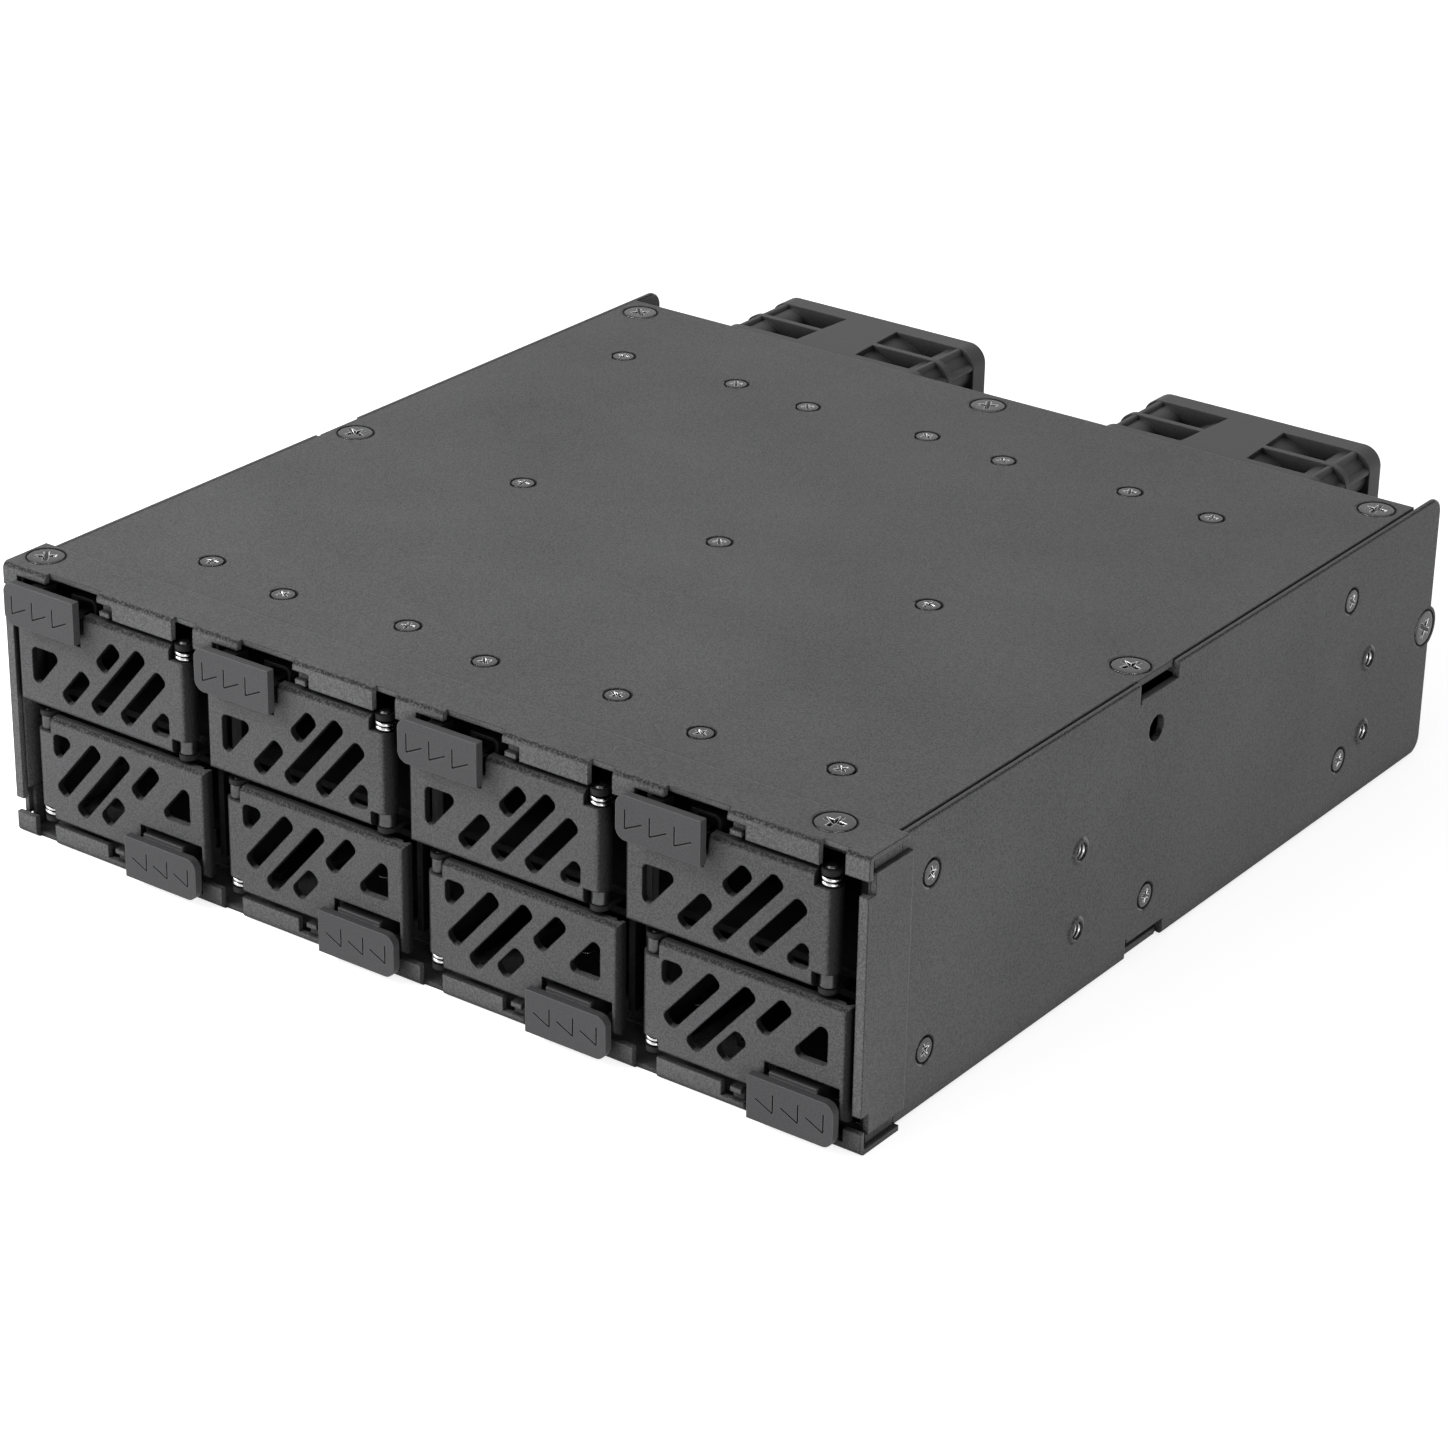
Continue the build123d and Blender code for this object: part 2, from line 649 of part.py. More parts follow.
def fan_frame(centre_x):
    place = Bay(centre_x, 1)
    half = fan_size / 2
    reach = fan_hole_spacing / 2
    corners = [(x * reach, z * reach) for x in (-1, 1) for z in (-1, 1)]
    with BuildPart() as frame:
        for y, depth in ((fan_front_y, fan_flange), (rib_y, 1.0), (fan_rear_y - fan_flange, fan_flange)):
            with BuildSketch(place.face(y)) as plate:
                RectangleRounded(fan_size, fan_size, fan_corner)
            extrude(plate.sketch, amount=-depth)
        with BuildSketch(place.face(fan_front_y)) as tube:
            Circle(fan_bore_radius + fan_wall)
            Rectangle(fan_size, fan_size, mode=Mode.INTERSECT)
        extrude(tube.sketch, amount=-fan_depth)
        for u, w in corners:
            with BuildSketch(place.face(fan_front_y)) as screw_post:
                with Locations((u, w)):
                    Circle(boss_radius)
            extrude(screw_post.sketch, amount=-fan_depth)
        # Flat pads that join the flanges where the tube meets the four sides
        pad_y = (fan_front_y + 1, fan_rear_y - 1)
        for out_x, out_z in ((1, 0), (-1, 0), (0, 1), (0, -1)):
            seat = Plane(origin=(centre_x + out_x * pad_low, 0, mid_z + out_z * pad_low),
                         x_dir=(out_z, 0, -out_x), z_dir=(out_x, 0, out_z))
            with BuildSketch(seat) as pad:
                with BuildLine():
                    Polyline((-pad_front_half, pad_y[0]), (pad_front_half, pad_y[0]),
                             (pad_rear_half, pad_y[1]), (-pad_rear_half, pad_y[1]), close=True)
                make_face()
            extrude(pad.sketch, amount=half - pad_low)
        with BuildSketch(place.face(fan_front_y - 1)) as bore:
            Circle(fan_bore_radius)
            with Locations(*corners):
                Circle(fan_screw_radius + 0.2)
        extrude(bore.sketch, amount=-fan_depth - 2, mode=Mode.SUBTRACT)
        # Motor plate on four arms behind the rotor, with the bearing tube
        for angle in (20, 110, 200, 290):
            with BuildSketch(place.face(fan_rear_y - motor_plate)) as arm:
                with Locations(Location((0, 0, 0), (0, 0, angle))):
                    with Locations((fan_bore_radius / 2 + 2, 0)):
                        Rectangle(fan_bore_radius - 3, 2.4)
                Circle(fan_bore_radius + fan_wall / 2, mode=Mode.INTERSECT)
            extrude(arm.sketch, amount=-motor_plate)
        with BuildSketch(place.face(fan_rear_y - motor_plate)) as plate:
            Circle(hub_radius)
        extrude(plate.sketch, amount=-motor_plate)
        with BuildSketch(place.face(hub_front_y + 3)) as tube:
            Circle(bearing_radius)
        extrude(tube.sketch, amount=hub_front_y + 3 - fan_rear_y + motor_plate)
        with BuildSketch(place.face(hub_front_y)) as shaft_hole:
            Circle(shaft_radius + running_gap)
        extrude(shaft_hole.sketch, amount=hub_front_y - fan_rear_y + 0.8, mode=Mode.SUBTRACT)
        seats = [Plane(origin=(centre_x + u, fan_rear_y, mid_z + w), z_dir=(0, 1, 0)) for u, w in corners]
        sink(seats, fan_screw_radius, large_head_radius, fan_depth)
    return frame


def fan_rotor(centre_x):
    place = Bay(centre_x, 1)
    tip = fan_bore_radius - 0.7
    with BuildPart() as rotor:
        with BuildSketch(place.face(hub_front_y)) as cup:
            Circle(hub_radius)
        extrude(cup.sketch, amount=hub_front_y - hub_rear_y)
        with BuildSketch(place.face(hub_front_y + 1.5)) as hollow:
            Circle(hub_radius - 1.5)
        extrude(hollow.sketch, amount=hub_front_y - hub_rear_y, mode=Mode.SUBTRACT)
        with BuildSketch(place.face(hub_front_y)) as shaft:
            Circle(shaft_radius)
        extrude(shaft.sketch, amount=hub_front_y - fan_rear_y + 2)
        for index in range(blades):
            turn = index * 2 * math.pi / blades
            out = Vector(math.cos(turn), 0, math.sin(turn))
            across = Vector(-math.sin(turn), 0, math.cos(turn))
            centre = Vector(centre_x, (hub_front_y + hub_rear_y) / 2, mid_z)
            with BuildSketch(Plane(centre + out * (hub_radius - 0.7), x_dir=across, z_dir=out)) as root:
                Rectangle(11.0, blade_thickness, rotation=48)
            with BuildSketch(Plane(centre + out * tip, x_dir=across, z_dir=out)) as end:
                Rectangle(13.0, blade_thickness, rotation=30)
            loft([root.sketch.face(), end.sketch.face()])
        with BuildSketch(place.face(fan_front_y)) as sweep_limit:
            Circle(tip)
        extrude(sweep_limit.sketch, amount=-fan_depth, mode=Mode.INTERSECT)
    return rotor


for side, name in ((-1, "left"), (1, "right")):
    fan = fan_frame(side * fan_offset)
    fan.part.label = "fan_frame_" + name
    export_step(fan.part, "parts/fan_frame_" + name + ".step")
    rotor = fan_rotor(side * fan_offset)
    rotor.part.label = "fan_rotor_" + name
    export_step(rotor.part, "parts/fan_rotor_" + name + ".step")


# Screws. Heads lie flush in their countersinks and carry a cross recess.
recess_share = 1.2


def screw(head_radius, shank_radius, length):
    """Flat-head screw drawn upright with its head's top at the origin."""
    recess = head_radius * recess_share
    with BuildPart() as one:
        with BuildSketch(Plane.XY.offset(-head_depth)):
            Circle(shank_radius)
        with BuildSketch():
            Circle(head_radius)
        loft()
        with BuildSketch(Plane.XY.offset(-head_depth)):
            Circle(shank_radius)
        extrude(amount=head_depth - length)
        with BuildSketch():
            Rectangle(recess, recess / 6)
            Rectangle(recess / 6, recess)
        extrude(amount=-head_depth / 2, mode=Mode.SUBTRACT)
    return one.part


small_screw = screw(small_head_radius, small_shank_radius, small_screw_length)
frame_screw = screw(large_head_radius, large_shank_radius, large_screw_length)
cover_screw = screw(large_head_radius, large_shank_radius, cover_sheet + inner_sheet + 0.2)
fan_screw = screw(large_head_radius, fan_screw_radius, fan_depth + inner_sheet + 1)

with BuildPart() as small_screws:
    seats = [on_cover(row, x, y, half_height) for row in (1, -1) for x, y in small_cover_screws]
    seats += [on_side(side, y, w) for side in (1, -1) for y, w in side_screws]
    with Locations(*seats):
        add(small_screw)
small_screws.part.label = "small_screws"
export_step(small_screws.part, "parts/small_screws.step")

with BuildPart() as large_screws:
    seats = [on_cover(row, x, y, frame_half_height) for row in (1, -1) for x, y in frame_screws]
    with Locations(*seats):
        add(frame_screw)
    seats = [on_cover(row, x, y, half_height) for row in (1, -1) for x, y in tab_screws + rear_cover_screws]
    seats += [on_side(side, rear_side_screw_y, 0) for side in (1, -1)]
    with Locations(*seats):
        add(cover_screw)
large_screws.part.label = "large_screws"
export_step(large_screws.part, "parts/large_screws.step")

with BuildPart() as fan_screws:
    reach = fan_hole_spacing / 2
    seats = [Plane(origin=(side * fan_offset + x * reach, fan_rear_y, mid_z + z * reach), z_dir=(0, 1, 0))
             for side in (1, -1) for x in (-1, 1) for z in (-1, 1)]
    with Locations(*seats):
        add(fan_screw)
fan_screws.part.label = "fan_screws"
export_step(fan_screws.part, "parts/fan_screws.step")


# Drive carrier: open channel with two hinge ears at its front and drive standoffs
spring_low = barrel_top + seat_gap + wire_diameter / 2
spring_high = spring_low + spring_turns * spring_pitch
upper_ear_low = spring_high + wire_diameter / 2 + seat_gap
upper_ear = (upper_ear_low, upper_ear_low + ear_thickness)
lower_ear = (seat_gap, seat_gap + ear_thickness)
ear_root_y = carrier_front_y + 2
neck_half = 1.1
standoff_radius = 2.2
standoff_hole_radius = 1.0
standoff_height = 2.4
standoff_places = (34.9, 54.9, 84.9)
air_slot_fronts = (26.0, 52.0, 78.0)
air_slot_length = 18.0
air_slot_width = 3.5
air_slot_margin = 1.5


def carrier(bay):
    wall = carrier_half_width - carrier_sheet
    depth = (carrier_front_y, carrier_rear_y)
    with BuildPart() as tray:
        floor_w = (carrier_low, carrier_low + carrier_sheet)
        block(bay, (-carrier_half_width, carrier_half_width), floor_w, depth)
        for side in (1, -1):
            span = (side * wall, side * carrier_half_width)
            block(bay, span, (carrier_low, carrier_wall_top), depth)
        neck = (hinge_u - neck_half, hinge_u + neck_half)
        root_y = (carrier_front_y, ear_root_y)
        for ear in (upper_ear, lower_ear):
            post(bay, hinge_u, hinge_y, ear_radius, ear)
            block(bay, neck, ear, (hinge_y, ear_root_y))
        block(bay, (neck[0], carrier_half_width), upper_ear, root_y)
        block(bay, (wall, carrier_half_width), (carrier_low, upper_ear[1]), root_y)
        block(bay, neck, (lower_ear[0], floor_w[1]), root_y)
        for low, high in (upper_ear, lower_ear):
            post(bay, hinge_u, hinge_y, pin_radius + running_gap, (low - 1, high + 1), Mode.SUBTRACT)
        for y in standoff_places:
            post(bay, 0, y, standoff_radius, (carrier_low, floor_w[1] + standoff_height))
            post(bay, 0, y, standoff_hole_radius, (0, floor_w[1] + standoff_height + 1), Mode.SUBTRACT)
        for side in (1, -1):
            slot_end = wall - air_slot_margin
            for y in air_slot_fronts:
                slot = (side * (slot_end - air_slot_width), side * slot_end)
                block(bay, slot, (0, floor_w[1] + 1), (y, y + air_slot_length), Mode.SUBTRACT)
    return tray


# Door: shallow pan with slanted vents, rolled round the hinge pin at one end
slope = math.tan(math.radians(vent_angle))
latch_cut_low = door_top - 4.8
latch_cut_right = -5.0
latch_step_w = door_top - 2.7
latch_step_right = -4.3


def vent_slot(start_u, low, high):
    """Slanted slot whose middle line starts at (start_u, low) and rises to high."""
    run = (high - low) / slope
    length = math.hypot(run, high - low)
    with Locations(Location((start_u + run / 2, (low + high) / 2, 0), (0, 0, vent_angle))):
        RectangleRounded(length, vent_width, vent_corner)


def door(bay):
    with BuildPart() as pan:
        depth = (door_front_y, door_front_y + door_depth)
        block(bay, (door_left, hinge_u), (door_low, door_top), depth)
        fillet(front_edges(pan, bay), radius=bend_radius)
        block(bay, (door_left + door_sheet, hinge_u + 1), (door_low + door_sheet, door_top - door_sheet),
              (door_front_y + door_sheet, depth[1] + 1), Mode.SUBTRACT)
        beyond = (notch_u, hinge_u + barrel_radius + 1)
        cut_y = (door_front_y - 1, depth[1] + 1)
        block(bay, beyond, (barrel_top, door_top + 1), cut_y, Mode.SUBTRACT)
        block(bay, beyond, (door_low - 1, barrel_low), cut_y, Mode.SUBTRACT)
        post(bay, hinge_u, hinge_y, barrel_radius, (barrel_low, barrel_top))
        bore_w = (barrel_low - 1, barrel_top + 1)
        post(bay, hinge_u, hinge_y, pin_radius + running_gap, bore_w, Mode.SUBTRACT)
        latch_left = door_left + door_sheet
        block(bay, (latch_left, latch_cut_right), (latch_cut_low, door_top + 1), cut_y, Mode.SUBTRACT)
        block(bay, (latch_left, latch_step_right), (latch_step_w, door_top + 1), cut_y, Mode.SUBTRACT)
        # Relief notches where the bent edges meet at the latch end's corners
        for w in (door_low, door_top):
            relief = Bay(bay.centre_x, bay.row).level(w - 1)
            with BuildSketch(relief) as corner:
                with Locations((door_left + door_sheet, depth[1])):
                    Circle(corner_relief)
            extrude(corner.sketch, amount=2, mode=Mode.SUBTRACT)
        with BuildSketch(bay.face(door_front_y - 1)) as vents:
            for start_u, low, high in (long_vent, middle_vent, low_vent, high_vent):
                vent_slot(start_u, low, high)
            # Large triangle beside the release tab, small triangle beside the hinge
            left = large_vent_left
            reach = (large_vent_high - large_vent_low) / slope
            with BuildLine() as large_outline:
                Polyline((left, large_vent_low), (left + reach, large_vent_high), (left, large_vent_high),
                         close=True)
            large_vent = make_face(large_outline.line)
            fillet(large_vent.vertices(), radius=vent_corner)
            right = small_vent_right
            low = small_vent_low
            with BuildLine() as small_outline:
                Polyline((right, low), (right, low + small_vent_rise),
                         (right - small_vent_rise / slope, low), close=True)
            small_vent = make_face(small_outline.line)
            fillet(small_vent.vertices(), radius=vent_corner)
        extrude(vents.sketch, amount=-door_sheet - 1.5, mode=Mode.SUBTRACT)
    return pan


# Hinge pin with a collar under the door's barrel, and the torsion spring round it
collar_rim = 0.4
pin_head_rise = 0.3
pin_chamfer = 0.2
coil_radius = pin_radius + 2 * running_gap + wire_diameter / 2


def hinge_pin(bay):
    with BuildPart() as pin:
        post(bay, hinge_u, hinge_y, pin_radius, (lower_ear[0], upper_ear[1] + pin_head_rise))
        chamfer(pin.edges().filter_by(GeomType.CIRCLE), length=pin_chamfer)
        collar = (lower_ear[1] + seat_gap, barrel_low - seat_gap)
        post(bay, hinge_u, hinge_y, pin_radius + collar_rim, collar)
    return pin


def hinge_spring(bay):
    with BuildPart() as spring:
        with BuildLine() as coil:
            Helix(pitch=spring_pitch, height=spring_high - spring_low, radius=coil_radius,
                  center=(bay.centre_x + hinge_u, hinge_y, mid_z + spring_low), lefthand=True)
        turns = coil.line.edges()[0]
        for end in (0, 1):
            bar(Plane(origin=turns @ end, z_dir=(0, 1, 0)), wire_diameter / 2, leg_length)
        with BuildSketch(Plane(origin=turns @ 0, z_dir=turns % 0)) as wire:
            Circle(wire_diameter / 2)
        sweep(wire.sketch, path=coil.line, is_frenet=True)
    return spring


# Release tab: plate in front of the door, a neck through the door and a hood behind it
tab_left = tab_right - tab_width
tab_low = door_top - 3.6
tab_top = tab_low + tab_height
tab_front_y = lip_front_y - tab_proud
tab_back_y = tab_front_y + tab_thickness
neck_left = -13.8
neck_right = -6.5
neck_low = latch_cut_low + 0.6
neck_top = door_top - 1.0
plate_low = latch_cut_low - 0.9
plate_right = -5.6
plate_rear_y = -1.6
arm_width = 2.2
hood_span = (-9.3, -4.6)
hood_sheet = 0.45
hood_bend = 1.0
hood_front_y = -0.95
hood_rear_y = 2.5
hood_rise = 1.15
inner_foot = (2.0, 0.8)
outer_foot = 1.0
catch_rear_y = 0.5
grip_first = tab_left + grip_margin
grip_low = tab_low + 1.7


def grip_mark(u, w, rise):
    """Corner mark at (u, w): an upright and a slanted stroke that rise (+1) or fall (-1) from it."""
    slant = math.radians(stroke_angle)
    with Locations((u, w + rise * stroke_height / 2)):
        Rectangle(stroke_width, stroke_height)
    middle_u = u + math.cos(slant) * stroke_length / 2
    middle_w = w + rise * math.sin(slant) * stroke_length / 2
    with Locations(Location((middle_u, middle_w, 0), (0, 0, rise * stroke_angle))):
        Rectangle(stroke_length, stroke_width)


def release_tab(bay, rise):
    """Tab of one bay. The grip marks rise from (+1) or hang from (-1) their corners."""
    with BuildPart() as tab:
        with BuildSketch(bay.face(tab_front_y)) as plate:
            with Locations(((tab_left + tab_right) / 2, (tab_low + tab_top) / 2)):
                Rectangle(tab_width, tab_height)
            corners = plate.vertices().group_by(Axis.X)
            fillet(corners[0], radius=tab_far_corner)
            fillet(corners[-1], radius=tab_near_corner)
        extrude(plate.sketch, amount=-tab_thickness)
        with BuildSketch(bay.face(tab_front_y)) as grip:
            corner_w = grip_low if rise > 0 else grip_low + stroke_height
            for index in range(grip_marks):
                grip_mark(grip_first + index * grip_pitch, corner_w, rise)
        extrude(grip.sketch, amount=-grip_groove, mode=Mode.SUBTRACT)
        block(bay, (neck_left, neck_right), (neck_low, neck_top), (tab_back_y, catch_rear_y))
        back_y = (door_front_y + door_sheet + seat_gap, plate_rear_y)
        block(bay, (neck_left, plate_right), (plate_low, neck_top), back_y)
        arm_w = (neck_top, lip_root - hood_sheet)
        block(bay, (neck_left, neck_left + arm_width), arm_w, (tab_back_y, plate_rear_y))
        # Hood behind the door's edge: a roof, its outer wall and two short feet
        hood_top = door_top + hood_rise
        foot_y = (hood_front_y, catch_rear_y)
        with BuildSketch(bay.face(hood_front_y)) as hood:
            with Locations((hood_span[1] - hood_bend, hood_top - hood_bend)):
                Circle(hood_bend)
                Circle(hood_bend - hood_sheet, mode=Mode.SUBTRACT)
                Rectangle(hood_bend, hood_bend, align=Align.MIN, mode=Mode.INTERSECT)
            roof = (hood_span[0], hood_span[1] - hood_bend)
            with Locations((sum(roof) / 2, hood_top - hood_sheet / 2)):
                Rectangle(roof[1] - roof[0], hood_sheet)
            drop = (neck_low, hood_top - hood_bend)
            with Locations((hood_span[1] - hood_sheet / 2, sum(drop) / 2)):
                Rectangle(hood_sheet, drop[1] - drop[0])
        extrude(hood.sketch, amount=hood_front_y - hood_rear_y)
        foot_w = (neck_low, neck_low + inner_foot[1])
        block(bay, (hood_span[1] - inner_foot[0], hood_span[1]), foot_w, foot_y)
        block(bay, (hood_span[0], hood_span[0] + outer_foot), (neck_top, hood_top), foot_y)
    return tab


# Every bay piece is drawn once in a middle top bay and set into each bay
first_bay = Bay(0, 1)
bay_pieces = {
    "carrier": carrier(first_bay).part,
    "door": door(first_bay).part,
    "hinge_pin": hinge_pin(first_bay).part,
    "hinge_spring": hinge_spring(first_bay).part,
}
tabs = {row: release_tab(first_bay, row).part for row in (1, -1)}
for number, bay in enumerate(bays, start=1):
    for name, piece in [*bay_pieces.items(), ("release_tab", tabs[bay.row])]:
        with BuildPart() as placed:
            with Locations(bay.from_first()):
                add(piece)
        placed.part.label = f"{name}_{number}"
        export_step(placed.part, f"parts/{name}_{number}.step")
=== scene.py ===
import math

import bpy
import numpy as np
from mathutils import Matrix, Vector


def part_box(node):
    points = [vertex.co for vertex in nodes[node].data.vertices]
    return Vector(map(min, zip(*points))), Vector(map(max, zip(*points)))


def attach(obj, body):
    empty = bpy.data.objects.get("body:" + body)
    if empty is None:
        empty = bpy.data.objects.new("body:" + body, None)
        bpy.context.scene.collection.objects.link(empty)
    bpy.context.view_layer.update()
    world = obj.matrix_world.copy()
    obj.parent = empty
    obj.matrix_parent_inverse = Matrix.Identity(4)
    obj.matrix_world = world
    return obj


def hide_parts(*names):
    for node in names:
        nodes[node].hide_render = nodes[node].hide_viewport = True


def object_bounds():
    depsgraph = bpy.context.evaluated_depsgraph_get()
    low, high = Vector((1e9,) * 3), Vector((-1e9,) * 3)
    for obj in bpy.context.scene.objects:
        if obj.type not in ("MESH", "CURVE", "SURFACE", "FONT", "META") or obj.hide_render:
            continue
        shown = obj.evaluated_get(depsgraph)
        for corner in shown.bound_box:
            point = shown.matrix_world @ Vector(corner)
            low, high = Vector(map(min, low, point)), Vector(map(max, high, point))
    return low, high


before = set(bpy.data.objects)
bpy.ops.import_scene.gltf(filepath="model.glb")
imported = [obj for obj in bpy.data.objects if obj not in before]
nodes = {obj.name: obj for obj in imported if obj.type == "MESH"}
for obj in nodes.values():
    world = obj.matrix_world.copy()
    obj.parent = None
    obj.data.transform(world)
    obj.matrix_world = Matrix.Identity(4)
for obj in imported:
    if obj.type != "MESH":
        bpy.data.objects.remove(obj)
solid_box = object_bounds()
MM = 0.001

# Places taken from the frame, in metres
cover_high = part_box("top_cover")[1]
flange_low, flange_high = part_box("front_frame")
side_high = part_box("right_side_panel")[1]
middle_height = (flange_low.z + flange_high.z) / 2


# Node helpers

def new_node(tree, kind, **settings):
    """A shader node with its settings and its sockets' values."""
    made = tree.nodes.new(kind)
    for name, value in settings.items():
        if name in made.inputs:
            made.inputs[name].default_value = value
        else:
            setattr(made, name, value)
    return made


def start_group(name, inputs, outputs):
    """An empty effect group with named number inputs and named outputs."""
    tree = bpy.data.node_groups.new(name, "ShaderNodeTree")
    for label, value in inputs.items():
        socket = tree.interface.new_socket(label, in_out="INPUT", socket_type="NodeSocketFloat")
        socket.default_value = value
    for label, kind in outputs.items():
        tree.interface.new_socket(label, in_out="OUTPUT", socket_type="NodeSocket" + kind)
    return tree, tree.nodes.new("NodeGroupInput"), tree.nodes.new("NodeGroupOutput")


def maths(tree, operation, *values, clamp=False):
    """The outcome of one maths node, fed by sockets and plain numbers."""
    made = new_node(tree, "ShaderNodeMath", operation=operation, use_clamp=clamp)
    for slot, value in enumerate(values):
        if isinstance(value, (int, float)):
            made.inputs[slot].default_value = value
        else:
            tree.links.new(value, made.inputs[slot])
    return made.outputs[0]


def ranged(tree, value, low, high, to_low=0.0, to_high=1.0, smooth=True):
    """A value carried from one range to another and held at its ends, by an S curve or a line."""
    made = new_node(tree, "ShaderNodeMapRange", interpolation_type="SMOOTHSTEP" if smooth else "LINEAR")
    limits = {"From Min": low, "From Max": high, "To Min": to_low, "To Max": to_high}
    for label, limit in limits.items():
        made.inputs[label].default_value = limit
    tree.links.new(value, made.inputs["Value"])
    return made.outputs[0]


def noise(tree, size, detail, roughness=0.5):
    """Noise fixed to the object, its grains as wide as a size socket in mm."""
    place = tree.nodes.new("ShaderNodeTexCoord")
    made = new_node(tree, "ShaderNodeTexNoise", Detail=detail, Roughness=roughness)
    tree.links.new(place.outputs["Object"], made.inputs["Vector"])
    tree.links.new(maths(tree, "DIVIDE", 1 / MM, size), made.inputs["Scale"])
    return made.outputs[0]


def rounded_normal(tree, radius, samples):
    """The surface's normal averaged over a radius socket in mm."""
    made = new_node(tree, "ShaderNodeBevel", samples=samples)
    tree.links.new(maths(tree, "MULTIPLY", radius, MM), made.inputs["Radius"])
    return made.outputs[0]


def own_direction(tree, normal):
    """A normal in the object's own axes: its three parts, and the sizes of those parts."""
    own = new_node(tree, "ShaderNodeVectorTransform", vector_type="NORMAL", convert_from="WORLD",
                   convert_to="OBJECT")
    tree.links.new(normal, own.inputs[0])
    size = new_node(tree, "ShaderNodeVectorMath", operation="ABSOLUTE")
    tree.links.new(own.outputs[0], size.inputs[0])
    parts = tree.nodes.new("ShaderNodeSeparateXYZ")
    sizes = tree.nodes.new("ShaderNodeSeparateXYZ")
    tree.links.new(own.outputs[0], parts.inputs[0])
    tree.links.new(size.outputs[0], sizes.inputs[0])
    return parts.outputs, sizes.outputs


def grain_group():
    """Fine pebbled grain: two octaves of rounded noise, as a height and a light or dark tint."""
    tree, given, result = start_group("pebble_grain", {"Size": 0.35, "Blotch": 25.0},
                                      {"Height": "Float", "Tint": "Float"})
    fine = noise(tree, given.outputs["Size"], 2.0, 0.6)
    wide = noise(tree, given.outputs["Blotch"], 3.0)
    pebbles = ranged(tree, fine, 0.3, 0.7)
    fine_share = maths(tree, "MULTIPLY", pebbles, 0.55)
    tint = maths(tree, "MULTIPLY_ADD", wide, 0.45, fine_share)
    tree.links.new(pebbles, result.inputs["Height"])
    tree.links.new(tint, result.inputs["Tint"])
    return tree


def edge_group():
    """Rounded edges: the surface's normal averaged over a radius in mm, and how much it turns there. The
    turn masks the painted highlight along edges.
    """
    tree, given, result = start_group("rounded_edge", {"Radius": 0.15, "Gain": 3.0},
                                      {"Edge": "Float", "Normal": "Vector"})
    normal = rounded_normal(tree, given.outputs["Radius"], 4)
    flat = tree.nodes.new("ShaderNodeNewGeometry")
    turn = new_node(tree, "ShaderNodeVectorMath", operation="DOT_PRODUCT")
    tree.links.new(normal, turn.inputs[0])
    tree.links.new(flat.outputs["Normal"], turn.inputs[1])
    away = maths(tree, "SUBTRACT", 1.0, turn.outputs["Value"])
    edge = maths(tree, "MULTIPLY", away, given.outputs["Gain"], clamp=True)
    tree.links.new(edge, result.inputs["Edge"])
    tree.links.new(normal, result.inputs["Normal"])
    return tree


def crevice_shade_group():
    """Painted shade in gaps: how open a place is, 1 on open faces, falling to 0 in gaps narrower
    than the reach in mm.

    The open share of the half sphere is first raised by 1.6, so that one wall alone paints little shade.
    """
    tree, given, result = start_group("crevice_shade", {"Reach": 4.0, "Depth": 1.6}, {"Open": "Float"})
    shade = new_node(tree, "ShaderNodeAmbientOcclusion", samples=6)
    tree.links.new(maths(tree, "MULTIPLY", given.outputs["Reach"], MM), shade.inputs["Distance"])
    raised = maths(tree, "MULTIPLY", shade.outputs["AO"], 1.6, clamp=True)
    steep = maths(tree, "POWER", raised, given.outputs["Depth"], clamp=True)
    tree.links.new(steep, result.inputs["Open"])
    return tree


def bend_group():
    """Bent and cut edges of coated sheet, found from a normal averaged over a radius in mm.

    Lean is 1 less the largest of that normal's three parts, scaled so that 45 degrees gives 1.
    Edges that lean to the rear get a painted highlight, and all the others painted shade in
    specks. Sideways is the size of the X part of the face's own normal.
    """
    tree, given, result = start_group("sheet_bend", {"Radius": 0.45, "SpeckSize": 0.3},
                                      {"BendShade": "Float", "Highlight": "Float", "Sideways": "Float",
                                       "Normal": "Vector"})
    normal = rounded_normal(tree, given.outputs["Radius"], 6)
    parts, sizes = own_direction(tree, normal)
    largest = maths(tree, "MAXIMUM", maths(tree, "MAXIMUM", sizes[0], sizes[1]), sizes[2])
    lean = ranged(tree, largest, 0.995, 0.78)
    rearward = ranged(tree, parts[1], 0.04, 0.2)
    edge_highlight = maths(tree, "MULTIPLY", lean, rearward)
    forward = maths(tree, "SUBTRACT", lean, edge_highlight)
    speck = ranged(tree, noise(tree, given.outputs["SpeckSize"], 1.0), 0.35, 0.65, 0.35, 1.5, smooth=False)
    bend_shade = maths(tree, "MULTIPLY", forward, speck, clamp=True)
    flat = tree.nodes.new("ShaderNodeNewGeometry")
    flat_sizes = own_direction(tree, flat.outputs["Normal"])[1]
    tree.links.new(bend_shade, result.inputs["BendShade"])
    tree.links.new(edge_highlight, result.inputs["Highlight"])
    tree.links.new(flat_sizes[0], result.inputs["Sideways"])
    tree.links.new(normal, result.inputs["Normal"])
    return tree


pebble_grain = grain_group()
rounded_edge = edge_group()
crevice_shade = crevice_shade_group()
sheet_bend = bend_group()


def mixed(tree, factor, first, second):
    """Two colours mixed by a factor socket, each a socket or a plain colour."""
    made = new_node(tree, "ShaderNodeMix", data_type="RGBA")
    for label, colour in (("A", first), ("B", second)):
        if isinstance(colour, tuple):
            made.inputs[label].default_value = (*colour, 1)
        else:
            tree.links.new(colour, made.inputs[label])
    tree.links.new(factor, made.inputs["Factor"])
    return made.outputs["Result"]


